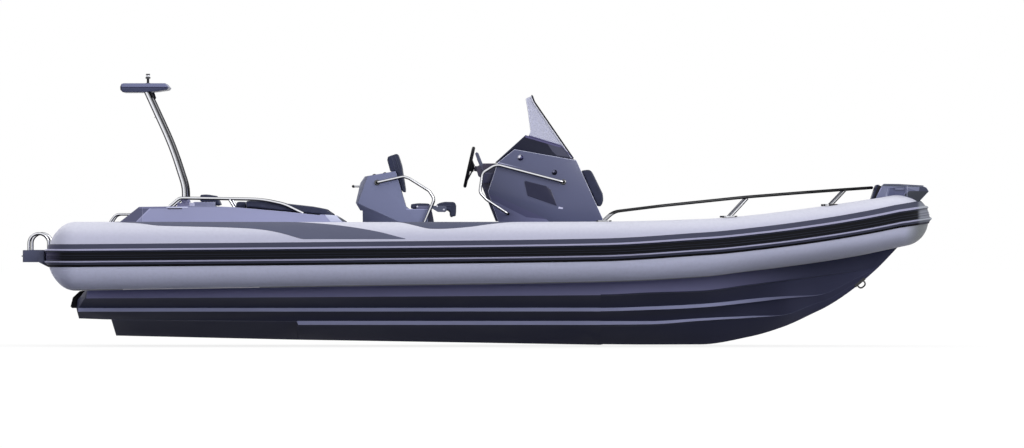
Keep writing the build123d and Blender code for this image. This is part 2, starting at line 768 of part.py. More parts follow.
flip_axis = (-382, 731)  # x, z of the bolster's hinge
flip_pin_radius = 4
hinge_leaf = 5  # thickness of the hinge's plates
fixed_leaf_y = seat_cushion_half_width + 2
moving_leaf_y = fixed_leaf_y + hinge_leaf + 1
fixed_leaf_outline = [(-507, 713.3), (-507, 738), (-400, 741), (-382, 741), (-373, 731), (-384, 712)]
fixed_leaf = side_plate(fixed_leaf_outline, fixed_leaf_y, fixed_leaf_y + hinge_leaf)
flip_pin = disc((flip_axis[0], fixed_leaf_y, flip_axis[1]), (0, 1, 0), flip_pin_radius, 2 * hinge_leaf + 4)
flip_head = disc((flip_axis[0], moving_leaf_y + hinge_leaf + 1, flip_axis[1]), (0, 1, 0), 9, 3)
fixed_leaf = fixed_leaf + flip_pin + flip_head
node_twins("bolster_hinge_leaves", fixed_leaf)
moving_leaf_outline = [(-386, 722), (-330, 688), (-272, 687), (-258, 700), (-258, 730)]
moving_leaf_outline += [(-270, 737), (-382, 740), (-391, 731)]
moving_leaf = side_plate(moving_leaf_outline, moving_leaf_y, moving_leaf_y + hinge_leaf)
moving_leaf_foot = (flip_axis[0], moving_leaf_y - 2, flip_axis[1])
moving_leaf -= disc(moving_leaf_foot, (0, 1, 0), flip_pin_radius + pin_gap, hinge_leaf + 4)
node_twins("bolster_arms", moving_leaf)
bolster_outline = [
    (-345, 731),
    (-345, 748),
    (-310, 763),
    (-269, 770),
    (-200, 768),
    (-184, 758),
    (-180, 740),
    (-180, 652),
    (-186, 646),
    (-222, 646),
    (-229, 652),
    (-231, 690),
    (-245, 700),
    (-330, 712),
]
helm_bolster = side_plate(bolster_outline, -moving_leaf_y + rest_gap, moving_leaf_y - rest_gap)
node("helm_bolster", helm_bolster)

seat_rail_y = seat_half_width + 38
seat_rail = rod(
    [
        (-833, seat_half_width, 931),
        (-833, seat_rail_y, 931),
        (-611, seat_rail_y, 981),
        (-565, seat_rail_y, 964),
        (-402, seat_rail_y, 862),
        (-358, seat_rail_y, 795),
        (-436, seat_rail_y, 608),
        (-475, seat_rail_y, 504),
        (-475, seat_half_width - 40, 504),
    ],
    11.5,
    [24, 60, 50, 70, 60, 300, 24],
)
seat_rail -= helm_body
rear_handle = rod([(-960, -190, 900), (-1031, -190, 900), (-1031, 190, 900), (-960, 190, 900)], 8, 30) - helm_body
node("seat_rails", seat_rail, twin(seat_rail), rear_handle)

# ---------------------------------------------------------------- console
console_half_width = 450
console_outline = [
    (306, 1206),
    (818, 1115),
    (1037, 632),
    (1064, floor_z),
    (200, floor_z),
    (171, 607),
    (86, 854),
    (166, 1095),
]
console_half = side_plate(console_outline, 0, console_half_width)
# flare: the side leans in below the crease from the aft point down to the deck
console_half = shave(
    console_half, (86, console_half_width, 854), (540, console_half_width, 647), (86, console_half_width - 60, 700)
)
console = console_half + twin(console_half)
front_seat_front_x = 1590
front_seat_z = 470
front_seat_base = [(1000, 560), (1046, 560), (1046, front_seat_z), (front_seat_front_x, front_seat_z)]
front_seat_base += [(front_seat_front_x - 30, floor_z), (1000, floor_z)]
front_seat_half_width = console_half_width - 50
console += side_plate(front_seat_base, -front_seat_half_width, front_seat_half_width)
node("console_body", console)

dash_half_width = console_half_width - 40
dash_outline = [(146, 1098), (397, 1325), (695, 1234), (786, 1127), (818, 1116), (306, 1206), (166, 1095)]
dash = side_plate(dash_outline, -dash_half_width, dash_half_width) - side_plate(console_outline, -500, 500)
node("console_dash", dash)

screen_thickness = 8
screen_half_width = dash_half_width - 2
screen_outline = [(401, 1628), (453, 1652), (470, 1600), (794, 1130)]
screen_outline += [(695, 1234.5), (424, 1317), (441, 1353), (418, 1531)]
screen_inner = [
    (300, 1700),
    (453 - 16, 1660),
    (470 - 11, 1594),
    (690, 1259),
    (700, 1100),
    (300, 1100),
]
screen = side_plate(screen_outline, -screen_half_width, screen_half_width)
screen -= side_plate(screen_inner, -screen_half_width + screen_thickness, screen_half_width - screen_thickness)
screen -= side_plate(dash_outline, -500, 500)
node("windscreen", screen)

window_outline = [(387, 940), (400, 945), (566, 903), (607, 872), (656, 738), (414, 823)]
side_window = side_plate(window_outline, console_half_width, console_half_width + 6)
node_twins("console_windows", side_window)

vent_places = [(356, 1137, 20), (637, 1016, 17)]  # x, z, radius
vents = [disc((x, console_half_width, z), (0, 1, 0), radius, 16) for x, z, radius in vent_places]
node_twins("console_vents", *vents)

console_rail_y = console_half_width + 40
console_rail = rod(
    [
        (711, console_half_width, 935),
        (711, console_rail_y, 935),
        (154, console_rail_y, 1081),
        (40, console_rail_y, 1010),
        (18, console_rail_y, 850),
        (73, console_rail_y, 790),
        (253, console_rail_y, 672),
        (253, console_half_width - 60, 672),
    ],
    11.5,
    [24, 95, 60, 50, 60, 24],
)
node_twins("console_rails", console_rail - console)

# ---------------------------------------------------------------- steering
wheel_centre = (-70, 0, 1060)
wheel_tilt = 12.8  # the shaft rises toward the helmsman by this many degrees
wheel_radius = 175
wheel_rim_radius = 14
shaft_axis = (-cos(radians(wheel_tilt)), 0, sin(radians(wheel_tilt)))


def along_shaft(distance):
    return tuple(c + distance * a for c, a in zip(wheel_centre, shaft_axis))


wheel_plane = Plane(origin=wheel_centre, x_dir=(0, 1, 0), z_dir=shaft_axis)
rim = wheel_plane * Torus(wheel_radius - wheel_rim_radius, wheel_rim_radius)
hub_length = 40
shaft_radius = 9.5
shaft_top = 12  # down from the wheel's centre to the shaft's end, inside the hub
hub = disc(along_shaft(-hub_length), shaft_axis, 34, hub_length)
shaft_bore = disc(along_shaft(-hub_length - 1), shaft_axis, shaft_radius + pin_gap, hub_length - shaft_top + 2)
node("steering_wheel_rim", rim)
spokes = hub
for angle in (90, 210, 330):
    spoke = Pos((wheel_radius - 20) / 2, 0, -10) * Box(wheel_radius - 26, 26, 8)
    spokes += wheel_plane * (Rot(0, 0, angle) * spoke)
spokes -= wheel_plane * Torus(wheel_radius - wheel_rim_radius, wheel_rim_radius + 0.2)
node("steering_wheel_spokes", spokes - shaft_bore)

pod_outline = [(-8, 1030), (-3, 1068), (45, 1091), (160, 1091)]
pod_outline += [(150, 1040), (120, 950), (40, 962), (5, 985)]
steering_pod = side_plate(pod_outline, -95, 95) - side_plate(console_outline, -200, 200)
steering_pod -= side_plate(dash_outline, -200, 200)
steering_shaft = disc(along_shaft(-90), shaft_axis, shaft_radius, 90 - shaft_top)
steering_shaft += disc(along_shaft(-90), shaft_axis, 22, 46)
node("steering_pod", steering_pod + steering_shaft)

throttle = block(40, 150, -360, -290, 930, 1010) - side_plate(console_outline, -500, 500)
throttle_lever = rod([(64, -325, 1000), (30, -325, 1060), (0, -325, 1130)], 8, 60)
node("throttle_control", throttle + throttle_lever)

# ---------------------------------------------------------------- seat in front of the console
front_back = side_plate(
    [(856, 1034), (922, 1043), (940, 1030), (1033, 839), (1041, 780), (1026, 732), (993, 731)],
    -front_seat_half_width + 40,
    front_seat_half_width - 40,
)
front_back -= side_plate(console_outline, -500, 500)
front_cushion_y = front_seat_half_width - 5
front_cushion_top_z = front_seat_z + cushion_height
front_cushion = block(
    1052, front_seat_front_x - 5, -front_cushion_y, front_cushion_y, front_seat_z + rest_gap, front_cushion_top_z
)
node("front_seat_cushions", front_back, front_cushion)

# ---------------------------------------------------------------- bow step and its backrest
step_half_width = 235
step_tip_half_width = 120
bulkhead_half_width = 150
tread_thickness = 8
step_outline = [
    (3225, bow_seat_z + rest_gap),
    (3225, 592),
    (3303, 808),
    (3352, 908),
    (3364, 913),
    (3489, 912),
    (3699, 900),
    (3723, 890),
    (3743, 858),
    (3679, 791),
    (3600, 700),
    (3290, 640),
    (3290, bow_seat_z + rest_gap),
]
step_plan_outline = [
    (3200, bulkhead_half_width),
    (3296, bulkhead_half_width),
    (3302, step_half_width),
    (3560, step_half_width),
    (3760, step_tip_half_width),
]
step_plan_outline += [(x, -y) for x, y in reversed(step_plan_outline)]
step_plan = plan_plate(step_plan_outline, bow_seat_z, 1000)
step_recess_depth = 8
step_recess = [(3385, 820), (3402, 888), (3530, 892), (3552, 862), (3520, 800)]
bow_step = side_plate(step_outline, -step_half_width, step_half_width) & step_plan
for side in (1, -1):
    depth = side * (step_half_width - step_recess_depth)
    bow_step -= side_plate(step_recess, min(depth, side * 400), max(depth, side * 400))
node("bow_step", bow_step - bow_room - hull)

tread_outline = [(3364, 913.3), (3489, 912.3), (3699, 900.3), (3699, 908), (3489, 920), (3370, 921)]
tread = side_plate(tread_outline, -200, 200)
tread &= plan_plate([(x - 14, y * 0.93) for x, y in step_plan_outline], 800, 1000)
node("bow_step_tread", tread - side_plate(step_outline, -400, 400))

bow_pad_outline = [(3181, 566), (3263, 800), (3300, 912), (3308, 918), (3334, 918)]
bow_pad_outline += [(3339, 908), (3301, 807), (3220, 580)]
bow_pad = side_plate(bow_pad_outline, -205, 205)
bow_pad = bow_pad - side_plate(step_outline, -400, 400) - bow_room
node("bow_backrest", bow_pad)

lamp = block(3460, 3532, step_half_width - step_recess_depth + rest_gap, step_half_width + 8, 872, 888)
node_twins("bow_side_lights", lamp)

# ---------------------------------------------------------------- pulpit rails on the collar
pulpit_rail_radius = 12.5
pulpit_foot_length = 125
pulpit_foot_width = 62
pulpit_foot_height = 10
pulpit_cross_x = 3266
pulpit_cross_z = 889


def on_collar(x, z):
    return (x, collar_half_width_at(x), z)


# columns: x and height on the collar where a foot stands, x and height of the post's top
pulpit_posts = [(2082, 800, 2228), (2920, 866, 3040)]
pulpit_line = [(1028, 600), (1128, 690), (1506, 737), (2218, 811), (2700, 849), (3018, 872)]
pulpit_cross = [(pulpit_cross_x, y, pulpit_cross_z) for y in (350, 0)]
pulpit_rail = rod(
    [on_collar(*p) for p in pulpit_line] + pulpit_cross,
    pulpit_rail_radius,
    [150, 900, 900, 900, 300, 120],
)


def pulpit_foot(x):
    turn = degrees(atan2(x - collar_straight_end_x, side_bend)) if x > collar_straight_end_x else 0
    foot_z = collar_top(x) + pulpit_foot_height - 40
    slot = SlotOverall(pulpit_foot_length, pulpit_foot_width)
    return extrude(Pos(x, collar_half_width_at(x), foot_z) * Rot(0, 0, -turn) * slot, amount=40)


pulpit = pulpit_rail
for foot_x, top_z, top_x in pulpit_posts:
    post_line = [on_collar(foot_x, collar_top(foot_x) - 4), on_collar(top_x, top_z)]
    pulpit = pulpit + rod(post_line, pulpit_rail_radius - 1, 0) + pulpit_foot(foot_x)
pulpit = (pulpit + pulpit_foot(1043)) - bow_room - port_room
node("pulpit_rails", pulpit + twin(pulpit))

# ---------------------------------------------------------------- towing eye on the stem
eye_feet = [Vector(3150, 0, 82), Vector(3198, 0, 122)]  # where its legs meet the stem
eye_reach = 44
stem_direction = (eye_feet[1] - eye_feet[0]).normalized()
eye_direction = Vector(stem_direction.Z, 0, -stem_direction.X)
eye_line = [eye_feet[0] - 20 * eye_direction, eye_feet[0] + eye_reach * eye_direction]
eye_line += [eye_feet[1] + eye_reach * eye_direction, eye_feet[1] - 20 * eye_direction]
bow_eye = rod([tuple(p) for p in eye_line], 6.5, 24)
saddle_foot = (eye_feet[0] + eye_feet[1]) * 0.5 - 10 * eye_direction
saddle = Plane(origin=saddle_foot, x_dir=stem_direction, z_dir=eye_direction)
bow_eye += saddle * (Pos(0, 0, 9) * Box(104, 34, 22))
node("towing_eyes", tow_ring, twin(tow_ring), bow_eye - hull)
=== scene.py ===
from math import atan2, cos, pi, radians, sin, sqrt

import bmesh
import bpy
import numpy as np
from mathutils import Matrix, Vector
from mathutils.bvhtree import BVHTree


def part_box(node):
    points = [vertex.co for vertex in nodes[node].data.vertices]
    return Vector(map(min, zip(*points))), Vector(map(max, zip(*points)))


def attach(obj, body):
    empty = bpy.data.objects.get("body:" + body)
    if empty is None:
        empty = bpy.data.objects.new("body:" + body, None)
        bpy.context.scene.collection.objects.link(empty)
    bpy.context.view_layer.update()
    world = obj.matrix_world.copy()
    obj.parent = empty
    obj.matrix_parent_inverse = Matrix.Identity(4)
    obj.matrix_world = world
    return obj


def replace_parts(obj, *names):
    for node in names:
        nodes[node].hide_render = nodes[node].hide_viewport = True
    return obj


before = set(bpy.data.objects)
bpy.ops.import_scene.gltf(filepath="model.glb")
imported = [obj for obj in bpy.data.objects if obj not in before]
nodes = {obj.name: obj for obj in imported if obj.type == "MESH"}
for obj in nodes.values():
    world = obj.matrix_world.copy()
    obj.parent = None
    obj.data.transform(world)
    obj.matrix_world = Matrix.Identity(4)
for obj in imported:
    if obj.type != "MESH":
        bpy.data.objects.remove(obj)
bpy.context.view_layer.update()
print("frame loaded:", len(nodes), "nodes")


# ---- shader sums and materials
class Value:  # wraps a socket, so that a sum on it adds a Math node
    def __init__(self, graph, socket):
        self.graph, self.socket = graph, socket

    def sum(self, operation, *terms):
        return self.graph.node("ShaderNodeMath", {"operation": operation}, dict(enumerate(terms)))

    def __add__(self, other):
        return self.sum("ADD", self, other)

    def __sub__(self, other):
        return self.sum("SUBTRACT", self, other)

    def __rsub__(self, other):
        return self.sum("SUBTRACT", other, self)

    def __mul__(self, other):
        return self.sum("MULTIPLY", self, other)

    def size(self):
        return self.sum("ABSOLUTE", self)

    def wave(self):
        return self.sum("SINE", self)

    def above(self, edge):
        return self.sum("GREATER_THAN", self, edge)

    def least(self, other):
        return self.sum("MINIMUM", self, other)

    def most(self, other):
        return self.sum("MAXIMUM", self, other)

    def rise(self, low, high):  # 0 below low, 1 above high, an S between
        sockets = {0: self, 1: low, 2: high, 3: 0.0, 4: 1.0}
        return self.graph.node("ShaderNodeMapRange", {"interpolation_type": "SMOOTHSTEP"}, sockets)

    __radd__ = __add__


class Graph:  # adds nodes to one node tree
    def __init__(self, tree):
        self.tree = tree
        tree.nodes.clear()

    def fill(self, made, sockets):
        for key, value in sockets.items():
            if isinstance(value, Value):
                self.tree.links.new(value.socket, made.inputs[key])
            else:
                made.inputs[key].default_value = value

    def node(self, kind, settings=None, sockets=None, output=0):
        made = self.tree.nodes.new(kind)
        for key, value in (settings or {}).items():
            setattr(made, key, value)
        self.fill(made, sockets or {})
        return Value(self, made.outputs[output]) if len(made.outputs) else None

    def seen(self):  # 1 for a ray from the camera, a mirror or a clear pane
        kinds = ("Is Camera Ray", "Is Glossy Ray", "Is Transmission Ray")
        first, second, third = [self.node("ShaderNodeLightPath", output=kind) for kind in kinds]
        return first.most(second).most(third)


class Finish(Graph):  # one material with a Principled shader
    def __init__(self, name):
        self.material = bpy.data.materials.new(name)
        self.material.use_nodes = True
        super().__init__(self.material.node_tree)
        self.shader = self.tree.nodes.new("ShaderNodeBsdfPrincipled")
        self.end = self.tree.nodes.new("ShaderNodeOutputMaterial")
        self.tree.links.new(self.shader.outputs[0], self.end.inputs[0])

    def place(self):
        return self.node("ShaderNodeTexCoord", output="Object")

    def axes(self, vector=None):
        split = {"Vector": vector or self.place()}
        return [self.node("ShaderNodeSeparateXYZ", None, split, i) for i in range(3)]

    def stretched(self, scale):
        return self.node("ShaderNodeMapping", None, {"Vector": self.place(), "Scale": scale})

    def noise(self, scale, detail=2.0, vector=None):
        sockets = {"Vector": vector or self.place(), "Scale": scale, "Detail": detail}
        return self.node("ShaderNodeTexNoise", None, sockets)

    def cells(self, scale, feature="F1"):
        return self.node("ShaderNodeTexVoronoi", {"feature": feature}, {"Vector": self.place(), "Scale": scale})

    def blend(self, mask, first, second):  # second where the mask is 1
        return self.node("ShaderNodeMix", {"data_type": "RGBA"}, {0: mask, 6: first, 7: second}, 2)

    def mottled(self, colour, lift, mask, low, high, share):  # partly the lifted colour where the mask rises
        return self.blend(mask.rise(low, high) * share, tone(*colour), tone(*colour, lift))

    def facing(self):  # the three parts of the surface's own direction
        return self.axes(self.node("ShaderNodeTexCoord", output="Normal"))

    def panel(self, corners, soft=0.0015):  # 1 inside a convex outline in the side view, corners anticlockwise
        x, _, z = self.axes()
        mask = None
        for (x0, z0), (x1, z1) in zip(corners, corners[1:] + corners[:1]):
            run = sqrt((x1 - x0) ** 2 + (z1 - z0) ** 2)
            inside = ((z - z0) * ((x1 - x0) / run) - (x - x0) * ((z1 - z0) / run)).rise(-soft, soft)
            mask = mask.least(inside) if mask else inside
        return mask

    def shaded(self, base, paintedFacets):  # each outlined facet in its own colour on the base, a painted shade or painted highlight of that facet
        for shade, corners in paintedFacets:
            base = self.blend(self.panel(corners), base, tone(*shade))
        return base

    def bump(self, height, distance, under=None):
        sockets = {"Height": height, "Distance": distance, "Strength": 1.0}
        if under:
            sockets["Normal"] = under
        return self.node("ShaderNodeBump", None, sockets)

    def surface(self, **sockets):
        names = {"Color": "Base Color", "Coat": "Coat Weight", "Sheen": "Sheen Weight",
                 "Mirror": "Specular IOR Level"}
        self.fill(self.shader, {names.get(key, key): value for key, value in sockets.items()})
        return self.material


def tone(red, green, blue, lift=1.0):  # screen colour of 0 to 255 as a linear one
    linear = [((c / 255 + 0.055) / 1.055) ** 2.4 if c > 10 else c / 255 / 12.92 for c in (red, green, blue)]
    return (*[min(c * lift, 1) for c in linear], 1)


def collarFinish(name, top, side, low, nose):  # coated fabric, its colour set by facing and place: painted light and shade
    f = Finish(name)
    weave = (f.axes()[0] * 2600).wave() * (f.axes()[2] * 2600).wave()
    soft = f.noise(2.2, 3)
    spots = f.noise(38, 4)
    up = f.facing()[2]
    under = f.bump(soft, 0.006)
    normal = f.bump(weave * 0.4 + spots, 0.00035, under)
    # painted highlight: the crown paler than the sides
    base = f.blend(up.rise(0.5, 0.92), tone(*side), tone(*top))
    # painted reflected light: a paler, bluish colour below
    base = f.blend((up * -1.0).rise(0.0, 0.5), base, tone(*low))
    # painted shade: the lower face darker toward the bow, and a near-black strip along the very bottom, a painted
    # shadow where the tube meets the hull
    base = f.blend((up * -1.0).rise(0.1, 0.75) * f.axes()[0].rise(1.2, 3.0), base, tone(*low, 0.56))
    base = f.blend((up * -1.0).rise(0.955, 0.985), base, tone(*low, 0.2))
    # painted shade: the nose, below its crown, in a darker grey
    base = f.blend(f.axes()[0].rise(3.52, 3.67) * (1.0 - up.rise(0.3, 0.6)), base, tone(*nose))
    base = f.blend(spots.rise(0.35, 0.75) * 0.1, base, tone(*side, 0.7))
    return f.surface(Color=base, Roughness=0.42 + spots * 0.14, Normal=normal, Sheen=0.05, Mirror=0.15)


def gripFinish(name, colour):  # embossed non-slip fabric
    f = Finish(name)
    cells = f.cells(210)
    wear = f.noise(7, 4)
    base = f.mottled(colour, 1.14, wear, 0.4, 0.75, 0.35)
    normal = f.bump(cells.rise(0.1, 0.6), 0.0008)
    return f.surface(Color=base, Roughness=0.68 + wear * 0.12, Normal=normal, Mirror=0.25)


def rubberFinish(name, colour, rough=0.52, bow=None, stern=None):  # bow and stern: painted light, the colour at the nose and the colour on faces that look aft
    f = Finish(name)
    grain = f.noise(420, 3)
    dust = f.noise(6, 5, f.stretched((0.3, 1, 2.2)))
    base = f.mottled(colour, 1.3, dust, 0.45, 0.8, 0.3)
    if bow:
        base = f.blend(f.axes()[0].rise(3.64, 3.675), base, tone(*bow))
        base = f.blend((f.facing()[0] * -1.0).rise(0.5, 0.95), base, tone(*stern))
    return f.surface(Color=base, Roughness=rough + dust * 0.16, Normal=f.bump(grain, 0.0003), Mirror=0.08)


def gelcoatFinish(name, colour, rough=0.24, coat=0.15, peel=0.00025, mirror=0.25, paintedFacets=(), fore=None, turned=()):
    # outlined facets: colour and outline of each, painted shade on some and painted highlights on others; fore:
    # colour toward the bow, from x to x
    # turned: how much darker the faces that look aft, and those that look forward, are: painted shade
    f = Finish(name)
    large = f.noise(1.6, 3)
    fine = f.noise(95, 2)
    base = f.mottled(colour, 0.9, large, 0.35, 0.7, 0.5)
    if fore:
        base = f.blend(f.axes()[0].rise(*fore[1:]), base, tone(*fore[0]))
    base = f.shaded(base, paintedFacets)
    # painted shade on faces that look aft and forward
    for way, deep in zip((-1.0, 1.0), turned):
        base = f.blend((f.facing()[0] * way).rise(0.15, 0.5), base, tone(*colour, deep))
    f.shader.inputs["Coat Roughness"].default_value = 0.08
    return f.surface(Color=base, Roughness=rough + large * 0.12, Coat=coat, Normal=f.bump(fine, peel), Mirror=mirror)


def treadFinish(name, colour):  # moulded non-slip on faces that look up, plain gelcoat elsewhere
    f = Finish(name)
    up = f.facing()[2].rise(0.85, 0.95)
    grid = f.cells(120).rise(0.12, 0.45)
    large = f.noise(2.4, 3)
    base = f.mottled(colour, 0.87, large, 0.35, 0.7, 0.5)
    return f.surface(Color=base, Roughness=0.34 + up * 0.3, Normal=f.bump(grid * up, 0.0012), Mirror=0.3)


def vinylFinish(name, colour):  # pebbled upholstery vinyl
    f = Finish(name)
    pebble = f.cells(330, "SMOOTH_F1")
    crease = f.noise(16, 4)
    base = f.mottled(colour, 1.35, crease, 0.42, 0.7, 0.55)
    normal = f.bump(pebble, 0.0006, f.bump(crease, 0.0016))
    return f.surface(Color=base, Roughness=0.44 + crease * 0.2, Normal=normal, Sheen=0.06, Mirror=0.2)


def steelFinish(name, bright, dark, under=(0.1, 0.5), over=(0.8, 0.97), fore=(0.4, 0.7), aft=(0.4, 0.7), split=None):
    # bright where the bar faces outward, dark where its surface turns under, over, fore or aft: painted reflection
    # and shade
    f = Finish(name)
    smear = f.noise(22, 4)
    fine = f.noise(900, 2)
    alongX, _, up = f.facing()
    f.shader.inputs["Specular Tint"].default_value = (0.1, 0.1, 0.12, 1)
    turned = (up * -1.0).rise(*under).most(up.rise(*over)).most(alongX.rise(*fore)).most((alongX * -1.0).rise(*aft))
    grey = lambda level: (level, level * 1.01, level * 1.07, 1)
    base = f.blend(smear.rise(0.4, 0.7) * 0.3, grey(bright), grey(bright * 0.8))
    base = f.blend(turned, base, grey(dark))
    if split:  # above this line the bar is dark, a painted shade: z over a + b x + c x squared
        x, _, z = f.axes()
        high = (z - (x * split[1] + x * x * split[2])).above(split[0])
        base = f.blend(high, base, f.blend(turned, grey(0.035), grey(dark * 0.5)))
    return f.surface(Color=base, Metallic=1.0, Roughness=0.12 + smear * 0.12, Normal=f.bump(fine, 0.00004))


def studFinish(name, bright, dark):  # polished dome: a painted highlight high on its aft side, painted dark round it
    f = Finish(name)
    alongX, across, up = f.facing()
    lit = (up * 0.45 + across.size() * 0.75 - alongX * 0.5).rise(0.72, 0.97)
    speck = f.noise(60, 3)
    base = f.blend(lit, tone(*dark), tone(*bright))
    return f.surface(Color=base, Metallic=0.7, Roughness=0.16 + speck * 0.1, Normal=f.bump(speck, 0.0001), Mirror=0.2)


def plasticFinish(name, colour, rough=0.4, paintedFacets=()):
    f = Finish(name)
    grain = f.noise(520, 2)
    scuff = f.noise(30, 5)
    # outlined facets in their own colours: painted shade and painted highlights
    base = f.shaded(f.mottled(colour, 1.3, scuff, 0.5, 0.75, 0.4), paintedFacets)
    return f.surface(Color=base, Roughness=rough + scuff * 0.18, Normal=f.bump(grain, 0.00025), Mirror=0.12)


def clearFinish(name, colour, see):
    f = Finish(name)
    haze = f.noise(9, 3)
    f.surface(Color=f.blend(haze * 0.4, tone(*colour), tone(*colour, 0.9)), Roughness=0.04 + haze * 0.06)
    f.surface(Alpha=see + haze * 0.06, Coat=0.6)
    return f.material


paintedFacets = {
    # painted shade and painted highlights on facets, creases, recesses and edges: shade, then corners in the side
    # view
    "module": [
        # the aft corner facet in painted shade, a paler strip beside it as painted highlight, a darker band under the
        # top edge, and the head block in painted shade
        ((86, 88, 118), [(-2.997, 0.579), (-2.845, 0.579), (-2.684, 0.737), (-2.79, 0.737)]),
        ((158, 160, 194), [(-2.85, 0.579), (-2.838, 0.579), (-2.672, 0.737), (-2.688, 0.737)]),
        ((112, 114, 148), [(-2.79, 0.716), (-2.48, 0.716), (-2.48, 0.737), (-2.81, 0.737)]),
        ((116, 119, 150), [(-2.39, 0.728), (-2.09, 0.728), (-2.09, 0.9), (-2.39, 0.9)]),
    ],
    "wing": [
        # the upper facet paler as painted light, a dark line along the crease, the underside and the aft end in
        # painted shade
        ((112, 116, 148), [(-2.96, 1.722), (-2.54, 1.722), (-2.54, 1.76), (-2.96, 1.76)]),
        ((50, 50, 76), [(-2.945, 1.7145), (-2.565, 1.7145), (-2.565, 1.7205), (-2.945, 1.7205)]),
        ((48, 48, 62), [(-2.96, 1.67), (-2.54, 1.67), (-2.54, 1.698), (-2.64, 1.6865), (-2.96, 1.6865)]),
        ((54, 52, 66), [(-2.96, 1.67), (-2.944, 1.67), (-2.944, 1.76), (-2.96, 1.76)]),
    ],
    "toe": [
        ((56, 60, 74), [(-1.12, 0.59), (-1.08, 0.59), (-1.08, 0.612), (-1.166, 0.668), (-1.18, 0.668),
                        (-1.15, 0.64)]),
        ((130, 132, 172), [(-1.3, 0.58), (-1.205, 0.58), (-1.262, 0.67), (-1.3, 0.67)]),
    ],
    "seat": [
        # the fore facet in painted shade, a pale line along the top edge as painted highlight, and a patch low at the
        # aft end lightened as painted light
        ((50, 51, 66), [(-0.42, 0.56), (-0.34, 0.56), (-0.376, 0.714), (-0.401, 0.714)]),
        ((156, 158, 196), [(-0.59, 0.707), (-0.401, 0.707), (-0.401, 0.716), (-0.59, 0.716)]),
        ((118, 126, 152), [(-0.952, 0.59), (-0.911, 0.59), (-0.911, 0.69), (-0.952, 0.69)]),
    ],
    "console": [
        # a paler lower facet as painted light, a darker band along the crease as painted shade, a pale line along the
        # top edge and a small pale spot as painted highlights
        ((126, 128, 166), [(0.16, 0.585), (0.62, 0.585), (0.5687, 0.6283), (0.12, 0.78)]),
        ((92, 92, 128), [(0.1035, 0.798), (0.2732, 0.7094), (0.4056, 0.6432), (0.5687, 0.6283), (0.1548, 0.8203),
                         (0.0886, 0.835)]),
        ((190, 192, 222), [(0.12, 1.104), (0.158, 1.096), (0.7, 0.962), (0.7, 0.968), (0.158, 1.103)]),
        ((205, 206, 236), [(0.668, 0.716), (0.704, 0.712), (0.708, 0.724), (0.672, 0.732)]),
    ],
    "dash": [
        # the dash's fore facet and an upper strip paler: painted light
        ((74, 75, 94), [(0.62, 1.19), (0.655, 1.156), (0.78, 1.138), (0.69, 1.238), (0.579, 1.25)]),
        ((92, 89, 128), [(0.395, 1.306), (0.69, 1.221), (0.7, 1.24), (0.395, 1.33)]),
    ],
    "bowStep": [
        # the step's recesses and edges in painted shade, its aft strip paler as painted light
        ((86, 90, 120), [(3.395, 0.8), (3.56, 0.8), (3.64, 0.862), (3.545, 0.895), (3.42, 0.893)]),
        ((40, 44, 56), [(3.56, 0.74), (3.76, 0.74), (3.76, 0.862), (3.58, 0.862), (3.54, 0.83)]),
        ((50, 54, 78), [(3.66, 0.86), (3.76, 0.86), (3.76, 0.89), (3.7, 0.91), (3.665, 0.898)]),
        ((162, 162, 200), [(3.225, 0.76), (3.275, 0.76), (3.35, 0.886), (3.33, 0.904)]),
        ((46, 54, 66), [(3.34, 0.904), (3.7, 0.894), (3.7, 0.93), (3.34, 0.93)]),
    ],
}
